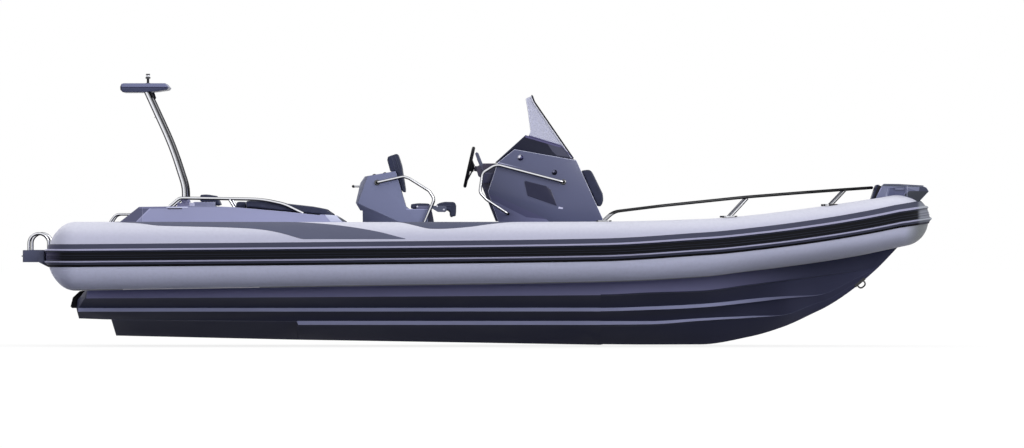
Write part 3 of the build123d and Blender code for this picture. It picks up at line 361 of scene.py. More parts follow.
looks = {
    "collar": collarFinish("collarFabric", (204, 205, 220), (178, 179, 200), (204, 207, 234), (114, 118, 122)),
    "patch": gripFinish("gripPatch", (86, 89, 110)),
    "tread": gripFinish("treadPatch", (78, 82, 104)),
    "tape": gripFinish("seamTape", (226, 224, 232)),
    # rubbing strake: its own dark grey, then painted highlight on the ridges, painted half shade, painted shade in
    # the recess and a near-black painted shadow below; each one's bow and stern colours are painted light
    "rail": rubberFinish("railRubber", (64, 66, 84), 0.52, (118, 122, 134), (72, 72, 98)),
    "railRidgeHighlight": rubberFinish("railRidgeHighlight", (150, 150, 178), 0.36, (150, 155, 166), (150, 150, 180)),
    "railHalfShade": rubberFinish("railHalfShade", (40, 42, 56), 0.46, (88, 92, 104), (60, 60, 84)),
    "railRecessShade": rubberFinish("railRecessShade", (16, 17, 22), 0.6, (124, 127, 138), (62, 60, 86)),
    "railUnderShadow": rubberFinish("railUnderShadow", (4, 4, 7), 0.7, (64, 64, 74), (20, 20, 30)),
    # hull looks: the topsides above the chine and the strakes' outer faces paler, painted light that fades darker
    # toward the bow; the edge look a painted highlight on rounded edges
    "hull": gelcoatFinish("hullGelcoat", (64, 66, 90), 0.42, 0.0, mirror=0.02),
    "hullEdge": gelcoatFinish("hullEdge", (88, 90, 116), 0.42, 0.0, mirror=0.02),
    "hullTopsideLight": gelcoatFinish("hullTopsideLight", (146, 146, 188), 0.42, 0.0, mirror=0.02, fore=((62, 64, 86), 1.2, 2.9)),
    "hullStrakeHighlight": gelcoatFinish("hullStrakeHighlight", (166, 170, 208), 0.42, 0.0, mirror=0.02, fore=((82, 84, 110), 1.6, 3.0)),
    # moulding looks from here: outlined facets in painted shade and highlights; on the seat and console, faces that
    # look aft and forward darkened as painted shade; each look named with Edge, paler than its body, is a painted
    # highlight on rounded edges
    "module": gelcoatFinish("moduleGelcoat", (144, 147, 182), paintedFacets=paintedFacets["module"]),
    "moduleEdge": gelcoatFinish("moduleEdge", (196, 198, 226)),
    "seatSide": gelcoatFinish("seatGelcoat", (120, 125, 156), 0.4, 0.0, mirror=0.03, paintedFacets=paintedFacets["seat"],
                              turned=(0.7, 0.4)),
    "seatEdge": gelcoatFinish("seatEdge", (176, 178, 204)),
    "console": gelcoatFinish("consoleGelcoat", (88, 92, 122), paintedFacets=paintedFacets["console"], turned=(0.5, 0.7)),
    "consoleEdge": gelcoatFinish("consoleEdge", (206, 208, 232)),
    "deck": treadFinish("deckMoulding", (146, 150, 172)),
    "deckEdge": gelcoatFinish("deckEdge", (176, 179, 196)),
    "platform": treadFinish("platformMoulding", (72, 76, 102)),
    "platformEdge": gelcoatFinish("platformEdge", (112, 116, 144)),
    "trim": plasticFinish("darkTrim", (33, 35, 52), 0.34, paintedFacets["dash"]),
    "trimEdge": plasticFinish("trimEdge", (76, 80, 106), 0.3),
    "upholstery": vinylFinish("upholsteryVinyl", (44, 48, 70)),
    "piping": vinylFinish("pipingVinyl", (60, 64, 84)),
    "bowStep": gelcoatFinish("bowStepGelcoat", (112, 116, 144), paintedFacets=paintedFacets["bowStep"]),
    "bowStepEdge": gelcoatFinish("bowStepEdge", (140, 144, 172)),
    "toe": gelcoatFinish("toeGelcoat", (196, 200, 224), paintedFacets=paintedFacets["toe"]),
    "wing": gelcoatFinish("wingGelcoat", (84, 88, 116), coat=0.0, peel=0.00005, mirror=0.06, paintedFacets=paintedFacets["wing"]),
    # steel looks: their bright and dark levels paint the bars' reflections and shade; the dark ones on flanges and
    # towing eyes are a painted dark reflection
    "steel": steelFinish("polishedSteel", 0.78, 0.05, (-0.05, 0.35), (0.62, 0.86)),
    "legSteel": steelFinish("legSteel", 0.86, 0.07, (0.75, 0.95), (0.85, 0.98), (-0.1, 0.2), (0.42, 0.62)),
    "pulpitSteel": steelFinish("pulpitSteel", 0.45, 0.04, (0.2, 0.6), (2.0, 3.0), (0.1, 0.4),
                               split=(0.5107, 0.1629, -0.01585)),
    "steelDark": steelFinish("darkReflectionSteel", 0.12, 0.04),
    "ringSteel": steelFinish("ringSteel", 0.05, 0.02),
    # vent caps: a painted highlight on each
    "ventBright": studFinish("ventBright", (236, 236, 250), (52, 52, 84)),
    "ventDark": studFinish("ventDark", (120, 122, 148), (26, 27, 42)),
    "plate": plasticFinish("plateGrey", (88, 92, 112), 0.3),
    "leaf": plasticFinish("leafGrey", (104, 106, 134), 0.3),
    "hinge": gelcoatFinish("hingeGrey", (108, 108, 144)),
    "cowl": plasticFinish("cowlPlastic", (92, 88, 106), 0.36),
    "panelDark": gelcoatFinish("panelDark", (58, 59, 86)),
    "lampGrey": plasticFinish("lampGrey", (116, 120, 146), 0.2),
    "blackMetal": plasticFinish("blackMetal", (30, 30, 36), 0.3),
    "rubber": rubberFinish("blackRubber", (24, 24, 29)),
    "rubberEdge": rubberFinish("rubberEdge", (44, 44, 52)),
    "gasket": rubberFinish("gasket", (104, 102, 138)),
    "wheelRim": rubberFinish("wheelRim", (22, 22, 27), 0.42),
    "glass": clearFinish("smokedScreen", (206, 208, 230), 0.62),
    # pale bars and bolt heads: a painted highlight
    "screenLine": plasticFinish("paleHighlightPlastic", (214, 215, 228), 0.25),
    "window": gelcoatFinish("windowPanel", (50, 51, 72), 0.16, 0.0, 0.0, 0.1),
    "windowEdge": gelcoatFinish("windowEdge", (60, 62, 84), 0.2, 0.5, 0.0),
    "lens": clearFinish("lampLens", (225, 226, 232), 0.6),
}
print("materials made:", len(looks))


# ---- meshes
both = (1, -1)


def put(name, data):  # a new object in the scene
    made = bpy.data.objects.new(name, data)
    bpy.context.scene.collection.objects.link(made)
    return made


def smoothed(mesh, sharp):  # shaded smooth, but for edges that turn by more than this many degrees
    mesh.polygons.foreach_set("use_smooth", np.ones(len(mesh.polygons), bool))
    mesh.set_sharp_from_angle(angle=radians(sharp))


def piece(name, points, faces, look, body="boat", sharp=30, extraLooks=(), lookOf=None):
    mesh = bpy.data.meshes.new(name)
    mesh.from_pydata(np.asarray(points, float).tolist(), [], [list(map(int, f)) for f in faces])
    smoothed(mesh, sharp)
    for each in (look, *extraLooks):
        mesh.materials.append(looks[each])
    if lookOf is not None:
        mesh.polygons.foreach_set("material_index", np.asarray(lookOf, np.int32))
    made = put(name, mesh)
    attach(made, body)
    return made


def gridFaces(rows, columns, wrapRows=False, wrapColumns=False):
    # quads between neighbours of a rows by columns grid, closed round where it wraps
    i = np.arange(rows if wrapRows else rows - 1)[:, None]
    j = np.arange(columns if wrapColumns else columns - 1)[None, :]
    a, b = i * columns + j, i * columns + (j + 1) % columns
    c, d = ((i + 1) % rows) * columns + (j + 1) % columns, ((i + 1) % rows) * columns + j
    return np.stack([a, b, c, d], -1).reshape(-1, 4)


def tubeFaces(count, sides, flip=False):  # a tube of rings with a face on each end, turned inside out by flip
    faces = gridFaces(count, sides, wrapColumns=True).tolist()
    faces += [list(range(sides))[::-1], list(range((count - 1) * sides, count * sides))]
    return [face[::-1] for face in faces] if flip else faces


def hoops(centres, out, other, radius, sides):  # a ring about each centre: centre + radius * (out cos + other sin)
    angles = np.linspace(0, 2 * pi, sides, endpoint=False)[:, None]
    spread = np.cos(angles) * np.reshape(out, (-1, 1, 3)) + np.sin(angles) * np.reshape(other, (-1, 1, 3))
    return np.reshape(centres, (-1, 1, 3)) + np.reshape(radius, (-1, 1, 1)) * spread


def spaced(line, step, least, whole=True):  # evenly spaced points; whole: with the last
    run = np.concatenate([[0], np.cumsum(np.linalg.norm(np.diff(line, axis=0), axis=1))])
    places = np.linspace(0, run[-1], int(max(run[-1] / step, least)), endpoint=whole)
    return np.stack([np.interp(places, run, line[:, k]) for k in range(3)], 1)


def readOut(items, key):  # the named vector of each item, one row each
    flat = np.empty(len(items) * 3)
    items.foreach_get(key, flat)
    return flat.reshape(-1, 3)


def linked(items, neighbours):  # the groups of items that hang together
    left, groups = set(items), []
    while left:
        group, rim = set(), [next(iter(left))]
        while rim:
            item = rim.pop()
            if item not in group:
                group.add(item)
                rim += neighbours(item)
        left -= group
        groups.append(group)
    return groups


def fair(x, places, values):
    # cubic through the rows that never overshoots: slope at a row is the harmonic mean of its neighbours'
    places, values = np.asarray(places, float), np.asarray(values, float)
    step = np.diff(values) / np.diff(places)
    both = step[:-1] * step[1:]
    inner = np.where(both > 0, 2 * both / np.where(both > 0, step[:-1] + step[1:], 1), 0)
    slope = np.concatenate([[step[0]], inner, [step[-1]]])
    i = np.clip(np.searchsorted(places, x) - 1, 0, len(places) - 2)
    gap = places[i + 1] - places[i]
    t = np.clip((x - places[i]) / gap, 0, 1)
    start, end = values[i], values[i + 1]
    near = (1 + 2 * t) * (1 - t) ** 2 * start + t * (1 - t) ** 2 * gap * slope[i]
    return near + t**2 * (3 - 2 * t) * end + t**2 * (t - 1) * gap * slope[i + 1]


# ---- the collar's line, shared by the tube, the patches and the rail
collar = {
    "halfWidth": 1.165, "tailX": -3.311, "straightEndX": 1.018, "noseX": 3.526, "noseBend": 0.45,
    "capLength": 0.232, "capEdge": 0.19, "sides": 96,
    # x, height of the centre, radius, lift of the rail above the centre
    "rows": [
        (-3.311, 0.322, 0.284, 0.008), (-1.051, 0.339, 0.265, 0.011), (1.018, 0.358, 0.25, 0.019),
        (1.846, 0.389, 0.24, 0.04), (2.26, 0.429, 0.23, 0.043), (2.674, 0.48, 0.229, 0.048),
        (3.088, 0.541, 0.226, 0.057), (3.526, 0.621, 0.215, 0.068),
    ],
}


def collarRow(x, column):
    rows = np.array(collar["rows"])
    return fair(x, rows[:, 0], rows[:, column])


bendRun = collar["noseX"] - collar["straightEndX"] - collar["noseBend"]
bendDrop = collar["halfWidth"] - collar["noseBend"]
sideTurn = 2 * atan2(bendDrop, bendRun)
sideBend = collar["noseBend"] + bendRun / sin(sideTurn)


def bendAt(turn):
    # plan place of the tube's centre where it has turned this far: a wide arc, then a tight one at the nose
    half = np.minimum(turn, pi - turn)
    wide = half <= sideTurn
    x = np.where(wide, collar["straightEndX"] + sideBend * np.sin(half),
                 collar["noseX"] - collar["noseBend"] + collar["noseBend"] * np.sin(half))
    y = np.where(wide, collar["halfWidth"] - sideBend * (1 - np.cos(half)), collar["noseBend"] * np.cos(half))
    return x, np.where(turn <= pi / 2, y, -y)


straightX = np.linspace(collar["tailX"], collar["straightEndX"], 30)[:-1]
turns = np.concatenate([np.linspace(0, sideTurn, 46), np.linspace(sideTurn, pi / 2, 40)[1:]])
turns = np.concatenate([turns, pi - turns[::-1][1:]])
bendX, bendY = bendAt(turns)
lineX = np.concatenate([straightX, bendX, straightX[::-1]])
lineY = np.concatenate([0 * straightX + collar["halfWidth"], bendY, 0 * straightX - collar["halfWidth"]])
lineTurn = np.concatenate([0 * straightX, turns, 0 * straightX + pi])


def capProfile(count):
    # the rounded end's radius by its distance aft of the rim: an edge arc, then a flat crown arc
    rim, edge, length = collar["rows"][0][2], collar["capEdge"], collar["capLength"]
    crown = (length**2 + (rim - edge) ** 2 - edge**2) / (2 * (length - edge))
    meet = atan2(rim - edge, crown - length)
    first = np.linspace(0, pi / 2 - meet, count)
    second = np.linspace(meet, 0, count)[1:]
    aft = np.concatenate([edge * np.sin(first), length - crown + crown * np.cos(second)])
    radius = np.concatenate([rim - edge + edge * np.cos(first), crown * np.sin(second)])
    return aft, radius


def outwardOf(turn):
    return np.stack([np.sin(turn), np.cos(turn), 0 * turn], -1)


def makeCollar():
    aft, radius = capProfile(12)
    aft, radius = aft[1:-1], radius[1:-1]
    x = np.concatenate([collar["tailX"] - aft[::-1], lineX, collar["tailX"] - aft])
    y = np.concatenate([0 * aft + collar["halfWidth"], lineY, 0 * aft - collar["halfWidth"]])
    turn = np.concatenate([0 * aft, lineTurn, 0 * aft + pi])
    r = np.concatenate([radius[::-1], collarRow(lineX, 2), radius])
    z = np.concatenate([0 * aft + collar["rows"][0][1], collarRow(lineX, 1), 0 * aft + collar["rows"][0][1]])
    rings = hoops(np.stack([x, y, z], -1), outwardOf(turn), (0, 0, 1), r, collar["sides"])
    count = len(x)
    tips = [[collar["tailX"] - collar["capLength"], side * collar["halfWidth"], z[0]] for side in (1, -1)]
    points = np.concatenate([rings.reshape(-1, 3), tips])
    faces = gridFaces(count, collar["sides"], wrapColumns=True).tolist()
    for tip, row, flip in ((count * collar["sides"], 0, 1), (count * collar["sides"] + 1, count - 1, -1)):
        ring = row * collar["sides"] + np.arange(collar["sides"])
        pairs = np.stack([ring, np.roll(ring, -1)], -1)[:, ::-flip]
        faces += [[int(a), int(b), tip] for a, b in pairs]
    made = piece("collarTube", points, faces, "collar", sharp=60)
    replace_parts(made, "tube_port", "tube_starboard", "tube_bow")


makeCollar()
print("collar made")

# ---- patches glued on the collar: a band between two angles round the tube
patches = {
    "lift": 0.0014, "dip": 0.002, "across": 14, "along": 90, "tapeLift": 0.003, "tapeWidth": 5.0,
    # x, then the two edges in degrees up round the tube from its outer side
    "sweepLow": [(-3.0, 86.0), (-2.955, 81.6), (-2.79, 73.1), (-2.624, 62.7), (-2.161, 57.8), (-1.879, 53.5),
                 (-1.738, 48.6), (-1.606, 40.6), (-1.451, 29.0), (-1.44, 28.4), (-1.3, 28.2), (-0.592, 27.6)],
    "sweepHigh": [(-3.0, 88.0), (-2.9, 112.0), (-2.3, 116.0), (-1.9, 108.0), (-1.62, 92.0), (-1.407, 78.5),
                  (-1.233, 68.8), (-1.002, 55.3), (-0.803, 43.2), (-0.654, 32.5), (-0.592, 28.4)],
    "treadLow": [(-0.69, 90.0), (-0.654, 84.0), (-0.513, 62.8), (-0.381, 51.8), (-0.31, 51.4), (-0.058, 57.8),
                 (0.041, 64.1), (0.273, 82.4), (0.34, 90.0)],
    "treadHigh": [(-0.69, 92.0), (-0.6, 122.0), (0.24, 122.0), (0.34, 92.0)],
    "strip": [(-2.922, -77.0), (-1.796, -77.0)],
}


def tubeBand(name, low, high, look, lift, side):
    # along x and across between the two edges: tube radius plus lift on top, tube radius less dip below
    low, high = np.array(low), np.array(high)
    x = np.linspace(low[0, 0], low[-1, 0], patches["along"])
    share = np.linspace(0, 1, patches["across"])
    first, last = fair(x, *low.T)[:, None], fair(x, *high.T)[:, None]
    angle = np.radians(first + (last - first) * share)
    angle = np.concatenate([angle, angle[:, ::-1]], 1)
    proud = np.where(np.arange(2 * len(share)) < len(share), lift, -patches["dip"])
    radius = collarRow(x, 2)[:, None] + proud
    y = side * (collar["halfWidth"] + radius * np.cos(angle))
    z = collarRow(x, 1)[:, None] + radius * np.sin(angle)
    points = np.stack([0 * y + x[:, None], y, z], -1).reshape(-1, 3)
    columns = 2 * len(share)
    piece(name, points, tubeFaces(len(x), columns, side < 0), look, sharp=40)


for sideName, side in (("Port", 1), ("Starboard", -1)):
    tubeBand("sweepPatch" + sideName, patches["sweepLow"], patches["sweepHigh"], "patch", patches["lift"], side)
    tubeBand("treadPatch" + sideName, patches["treadLow"], patches["treadHigh"], "tread", patches["lift"], side)
    strip = patches["strip"]
    stripLow = [(x, angle - patches["tapeWidth"]) for x, angle in strip]
    tubeBand("lowerTape" + sideName, stripLow, strip, "tape", patches["tapeLift"], side)
print("patches made")

# ---- rub rail: a ridged rubber profile carried round the collar and both rounded ends
rail = {
    "gap": 0.0006, "tailSteps": 46, "tailEnd": 0.05,
    # height above the rail's centre, thickness outward, look from here down to the next row
    # the looks paint light and shade across the profile: pale ridges as painted highlight, a half shade under them
    # and on the small ribs, a painted shade in the recess and a near-black painted shadow on the lower lip
    "rows": [
        (0.092, 0.0008, "rail"), (0.0915, 0.005, "rail"), (0.0885, 0.009, "rail"), (0.07, 0.01, "rail"),
        (0.052, 0.011, "railRidgeHighlight"), (0.05, 0.017, "railRidgeHighlight"), (0.048, 0.024, "railRidgeHighlight"),
        (0.0445, 0.0282, "railRidgeHighlight"), (0.04, 0.0288, "railRidgeHighlight"), (0.037, 0.0275, "railHalfShade"),
        (0.033, 0.0225, "railHalfShade"), (0.027, 0.015, "railHalfShade"), (0.0235, 0.015, "railRecessShade"),
        (0.0205, 0.012, "railRecessShade"), (0.001, 0.0118, "railRecessShade"), (-0.001, 0.0138, "railHalfShade"),
        (-0.004, 0.0138, "railRecessShade"), (-0.006, 0.0118, "railRecessShade"), (-0.018, 0.0118, "railRecessShade"),
        (-0.02, 0.0142, "railHalfShade"), (-0.024, 0.0142, "railRecessShade"), (-0.026, 0.0118, "railRecessShade"),
        (-0.038, 0.0118, "railRecessShade"), (-0.043, 0.016, "railHalfShade"), (-0.048, 0.024, "railRidgeHighlight"),
        (-0.051, 0.028, "railRidgeHighlight"), (-0.057, 0.0288, "railRidgeHighlight"), (-0.06, 0.0275, "rail"),
        (-0.065, 0.0225, "rail"), (-0.073, 0.015, "rail"), (-0.079, 0.013, "railUnderShadow"),
        (-0.082, 0.0085, "railUnderShadow"), (-0.094, 0.008, "railUnderShadow"), (-0.097, 0.0008, "railUnderShadow"),
    ],
}


def tailSlice(height):
    # plan curve of the rounded end at this height: half width sqrt(radius^2 - height^2), out, round and in
    aft, radius = capProfile(160)
    wide = radius > abs(height) + 1e-5
    half = np.sqrt(radius[wide] ** 2 - height**2)
    aft = np.concatenate([aft[wide], aft[wide][::-1]])
    half = np.concatenate([half, -half[::-1]])
    run = np.concatenate([[0], np.cumsum(np.hypot(np.diff(aft), np.diff(half)))])
    end = np.interp(rail["tailEnd"], -half, run)
    places = np.linspace(end, 0, rail["tailSteps"])
    x, y = np.interp(places, run, aft), np.interp(places, run, half)
    outX, outY = np.gradient(y), -np.gradient(x)
    size = np.hypot(outX, outY)
    return -x, y, -outX / size, outY / size


def makeRail():
    heights = np.array([row[0] for row in rail["rows"]])
    proud = np.array([row[1] for row in rail["rows"]])
    heights = np.concatenate([heights, heights[::-1]])
    proud = np.concatenate([proud + rail["gap"], np.full(len(proud), rail["gap"] - 0.0002)])
    lift, radius, centre = collarRow(lineX, 3), collarRow(lineX, 2), collarRow(lineX, 1)
    up = lift[:, None] + heights
    out = np.sqrt(radius[:, None] ** 2 - up**2) + proud
    way = outwardOf(lineTurn)
    middle = np.stack([lineX, lineY, centre], -1)[:, None, :]
    rings = middle + out[..., None] * way[:, None, :] + up[..., None] * np.array([0, 0, 1.0])
    tails = []
    for h, t in zip(heights + collar["rows"][0][3], proud):
        x, y, outX, outY = tailSlice(h)
        places = [collar["tailX"] + x + t * outX, collar["halfWidth"] + y + t * outY, 0 * x + centre[0] + h]
        tails.append(np.stack(places, -1))
    tail = np.stack(tails, 1)[:-1]
    other = tail[::-1] * np.array([1, -1, 1])
    rings = np.concatenate([tail, rings, other])
    count, columns = rings.shape[:2]
    looksUsed = ["rail", "railRidgeHighlight", "railHalfShade", "railRecessShade", "railUnderShadow"]
    strip = [looksUsed.index(row[2]) for row in rail["rows"]]
    strip += [0] * (columns - len(strip))
    lookOf = np.concatenate([np.tile(strip, count - 1), [0, 0]])
    faces = tubeFaces(count, columns, True)
    made = piece("rubRail", rings.reshape(-1, 3), faces, "rail", sharp=50, extraLooks=looksUsed[1:], lookOf=lookOf)
    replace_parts(made, "rub_rail")


makeRail()
print("rail made")


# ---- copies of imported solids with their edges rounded
def merged(node):  # the node's triangles as one connected mesh with flat faces
    shape = bmesh.new()
    shape.from_mesh(nodes[node].data)
    bmesh.ops.remove_doubles(shape, verts=shape.verts, dist=2e-5)
    bmesh.ops.dissolve_limit(shape, angle_limit=radians(0.6), verts=shape.verts, edges=shape.edges)
    return shape


def settled(made):  # apply the piece's modifiers
    bpy.context.view_layer.update()
    final = bpy.data.meshes.new_from_object(made.evaluated_get(bpy.context.evaluated_depsgraph_get()))
    final.name = made.data.name
    made.modifiers.clear()
    made.data = final
    return made


softening = {"segments": 2, "fromAngle": 24, "sharp": 28}


def softened(node, look, edgeLook, width, body="boat", shape=None):
    shape = shape or merged(node)
    mesh = bpy.data.meshes.new(node + "_soft")
    shape.to_mesh(mesh)
    shape.free()
    mesh.materials.append(looks[look])
    mesh.materials.append(looks[edgeLook])
    mesh.polygons.foreach_set("material_index", np.zeros(len(mesh.polygons), np.int32))
    made = put(node + "_soft", mesh)
    # the rounded faces take the edge look, on most pieces paler than the body: a painted highlight along the edges
    bevel = made.modifiers.new("rounded", "BEVEL")
    bevel.width, bevel.segments, bevel.limit_method = width, softening["segments"], "ANGLE"
    bevel.angle_limit, bevel.material, bevel.use_clamp_overlap = radians(softening["fromAngle"]), 1, True
    settled(made)
    smoothed(made.data, softening["sharp"])
    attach(made, body)
    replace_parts(made, node)
    return made


# ---- hull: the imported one, its outer skin forward of the straight part made fair
hull = {
    "skinFrom": 1.018, "corner": 0.007, "keelCorner": 0.02, "stations": 90, "strakeLift": 0.55,
    # columns of the skin's quads, counted from the top edge, that are the topsides and the strakes' outer faces,
    # given paler colours as painted light
    "topsideColumns": [0], "strakeColumns": [8, 9, 10, 17, 18, 19],
    # x, keel z, lower strake y z width, upper strake y z width, chine y z, top edge y z
    "rows": [
        (0.19, -0.401, 0.33, -0.248, 0.06, 0.575, -0.135, 0.055, 0.85, 0.0, 0.932, 0.262),
        (1.018, -0.415, 0.33, -0.248, 0.06, 0.575, -0.135, 0.055, 0.85, 0.0, 0.932, 0.283),
        (1.432, -0.418, 0.318, -0.244, 0.052, 0.56, -0.124, 0.055, 0.825, 0.017, 0.915, 0.3),
        (1.846, -0.418, 0.295, -0.215, 0.042, 0.515, -0.105, 0.058, 0.76, 0.031, 0.85, 0.318),
        (2.26, -0.353, 0.245, -0.19, 0.029, 0.425, -0.064, 0.058, 0.64, 0.083, 0.735, 0.36),
        (2.533, -0.272, 0.185, -0.168, 0.002, 0.375, -0.032, 0.038, 0.52, 0.118, 0.62, 0.395),
        (2.806, -0.15, 0.085, -0.072, 0.001, 0.17, -0.008, 0.012, 0.345, 0.154, 0.48, 0.44),
        (2.889, -0.11, 0.06, -0.046, 0.001, 0.13, 0.012, 0.002, 0.285, 0.165, 0.43, 0.45),
        (3.096, 0.024, 0.03, 0.07, 0.001, 0.075, 0.114, 0.001, 0.14, 0.191, 0.3, 0.48),
        (3.303, 0.202, 0.004, 0.221, 0.001, 0.008, 0.224, 0.001, 0.014, 0.229, 0.19, 0.505),
        (3.5, 0.405, 0.003, 0.423, 0.001, 0.006, 0.425, 0.001, 0.01, 0.429, 0.1, 0.52),
    ],
}


def hullHalf(columns):
    # half a section's corners from the keel up: two strakes, the chine flat, the chine and the top edge
    keel, y1, z1, w1, y2, z2, w2, chineY, chineZ, topY, topZ = columns
    flat = np.minimum(0.11, 0.25 * (chineY - y2))
    lift = hull["strakeLift"]
    y = [0 * keel, y1 - w1, y1, y1, y2 - w2, y2, y2, chineY - flat, chineY, topY]
    z = [keel, z1 - 0.28 * w1, z1, z1 + lift * w1, z2 + 0.12 * w2, z2, z2 + lift * w2,
         chineZ - 0.09 * flat, chineZ, topZ]
    return np.stack([np.stack(y, -1), np.stack(z, -1)], -1)


def skinPoints(x, smooth):
    rows = np.array(hull["rows"])
    between = fair if smooth else np.interp
    half = hullHalf([between(x, rows[:, 0], rows[:, k]) for k in range(1, 12)])
    loop = np.concatenate([half[:, ::-1], half[:, 1:] * [-1, 1]], 1)
    if smooth:  # each inner corner becomes three points of a small arc
        before, here, after = loop[:, :-2], loop[:, 1:-1], loop[:, 2:]
        size = np.full(loop.shape[1] - 2, hull["corner"])
        size[len(size) // 2] = hull["keelCorner"]
        toBefore, toAfter = before - here, after - here
        reach = lambda way: np.minimum(size / np.maximum(np.linalg.norm(way, axis=-1), 1e-6), 0.4)[..., None]
        first, last = here + toBefore * reach(toBefore), here + toAfter * reach(toAfter)
        arcs = np.stack([first, 0.25 * first + 0.5 * here + 0.25 * last, last], 2)
        loop = np.concatenate([loop[:, :1], arcs.reshape(len(x), -1, 2), loop[:, -1:]], 1)
    columns = loop.shape[1]
    points = np.concatenate([np.broadcast_to(x[:, None, None], (len(x), columns, 1)), loop], -1)
    return points.reshape(-1, 3), gridFaces(len(x), columns)[:, ::-1]


def hullLooks(mesh):
    # topsides above the chine and the outer faces of the strakes in paler colours, painted light; the bottom keeps
    # its own
    which = np.empty(len(mesh.polygons), np.int32)
    mesh.polygons.foreach_get("material_index", which)
    centre, outer = readOut(mesh.polygons, "center"), np.abs(readOut(mesh.polygons, "normal")[:, 1])
    rows = np.array(hull["rows"])
    overChine = centre[:, 2] - np.interp(centre[:, 0], rows[:, 0], rows[:, 9])
    which[(outer > 0.8) & (overChine > -0.002)] = 2
    which[(outer > 0.93) & (overChine < -0.05) & (centre[:, 0] > -2.9)] = 3
    mesh.materials.append(looks["hullTopsideLight"])
    mesh.materials.append(looks["hullStrakeHighlight"])
    mesh.polygons.foreach_set("material_index", which)


def makeHull():
    rows = np.array(hull["rows"])[1:, 0]
    ruled, quads = skinPoints(np.union1d(rows, np.linspace(rows[0], rows[-1], 160)), False)
    tree = BVHTree.FromPolygons(ruled.tolist(), quads.tolist())
    shape = merged("hull")
    gone = []
    for face in shape.faces:
        centre = face.calc_center_median()
        forward = min(v.co.x for v in face.verts) > hull["skinFrom"] - 0.002
        if forward and centre.x < rows[-1] and tree.find_nearest(centre)[3] < 0.002:
            gone.append(face)
    print("hull faces under the fair skin:", len(gone))
    bmesh.ops.delete(shape, geom=gone, context="FACES")
    beside = lambda face: [other for edge in face.edges for other in edge.link_faces]
    body = max(linked(shape.faces, beside), key=len)
    stray = [face for face in shape.faces if face not in body]
    bmesh.ops.delete(shape, geom=stray, context="FACES")
    print("stray hull faces taken out:", len(stray))
    hullLooks(softened("hull", "hull", "hullEdge", 0.006, shape=shape).data)
    x = np.concatenate([np.linspace(hull["skinFrom"], 3.2, hull["stations"]), np.linspace(3.2, rows[-1], 14)[1:]])
    points, faces = skinPoints(x, True)
    # the topside and strake columns take the paler looks: painted light
    strip = np.zeros(len(faces) // (len(x) - 1), int)
    for number, columns in ((1, hull["topsideColumns"]), (2, hull["strakeColumns"])):
        strip[columns] = strip[::-1][columns] = number
    lookOf = np.tile(strip, len(x) - 1)
    skin = piece("hullSkin", points, faces, "hull", sharp=24, extraLooks=("hullTopsideLight", "hullStrakeHighlight"), lookOf=lookOf)
    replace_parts(skin, "hull")


makeHull()
print("hull made")

# ---- moulded pieces: the imported solids with rounded edges that catch the light, their edge look mostly paler as a painted highlight
moulded = {
    # node: look, look of the rounded edge, width of the rounding, body
    "console_body": ("console", "consoleEdge", 0.011, "boat"),
    "console_dash": ("trim", "trimEdge", 0.006, "boat"),
    "console_windows": ("window", "windowEdge", 0.0028, "boat"),
    "helm_seat_body": ("seatSide", "seatEdge", 0.008, "boat"),
    "aft_seat_module": ("module", "moduleEdge", 0.01, "boat"),
    "bow_seat_module": ("deck", "deckEdge", 0.008, "boat"),
    "deck_liner": ("deck", "deckEdge", 0.01, "boat"),
    "bow_step": ("bowStep", "bowStepEdge", 0.005, "boat"),
    "swim_platforms": ("platform", "platformEdge", 0.008, "boat"),
    "stern_pads": ("rubber", "rubberEdge", 0.008, "boat"),
    "transom_board": ("trim", "trimEdge", 0.004, "boat"),
    "bolster_arms": ("plate", "leaf", 0.0012, "bolster"),
    "bolster_hinge_leaves": ("leaf", "plate", 0.001, "boat"),
    "arch_hinge_bases": ("hinge", "moduleEdge", 0.0025, "boat"),
    "bow_step_tread": ("trim", "trimEdge", 0.003, "boat"),
    "throttle_control": ("panelDark", "hinge", 0.004, "boat"),
    "steering_pod": ("cowl", "cowl", 0.026, "boat"),
}
for node, (look, edgeLook, width, body) in moulded.items():
    softened(node, look, edgeLook, width, body)
print("moulded pieces made")


# ---- cushions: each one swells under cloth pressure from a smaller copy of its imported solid
def islands(node):  # the node's separate solids as points and faces, ordered by place
    shape = merged(node)
    found = []
    for group in linked(shape.verts, lambda vert: [edge.other_vert(vert) for edge in vert.link_edges]):
        order = {v: i for i, v in enumerate(group)}
        faces = [[order[v] for v in f.verts] for f in shape.faces if f.verts[0] in group]
        found.append((np.array([v.co[:] for v in group]), faces))
    shape.free()
    return sorted(found, key=lambda part: tuple(np.round(part[0].mean(0), 2)))


def coordsOf(mesh):
    return readOut(mesh.vertices, "co")


def normalsOf(mesh):
    return readOut(mesh.vertex_normals, "vector")


def putCoords(mesh, points):
    mesh.vertices.foreach_set("co", np.asarray(points, float).ravel())
    mesh.update()


padding = {
    "fill": 0.7, "inset": 0.0015, "cord": 0.0034, "cordSides": 7,
    "frames": 20, "pressure": 4.0, "quality": 4, "mass": 0.3, "tension": 12, "bending": 0.6,
}


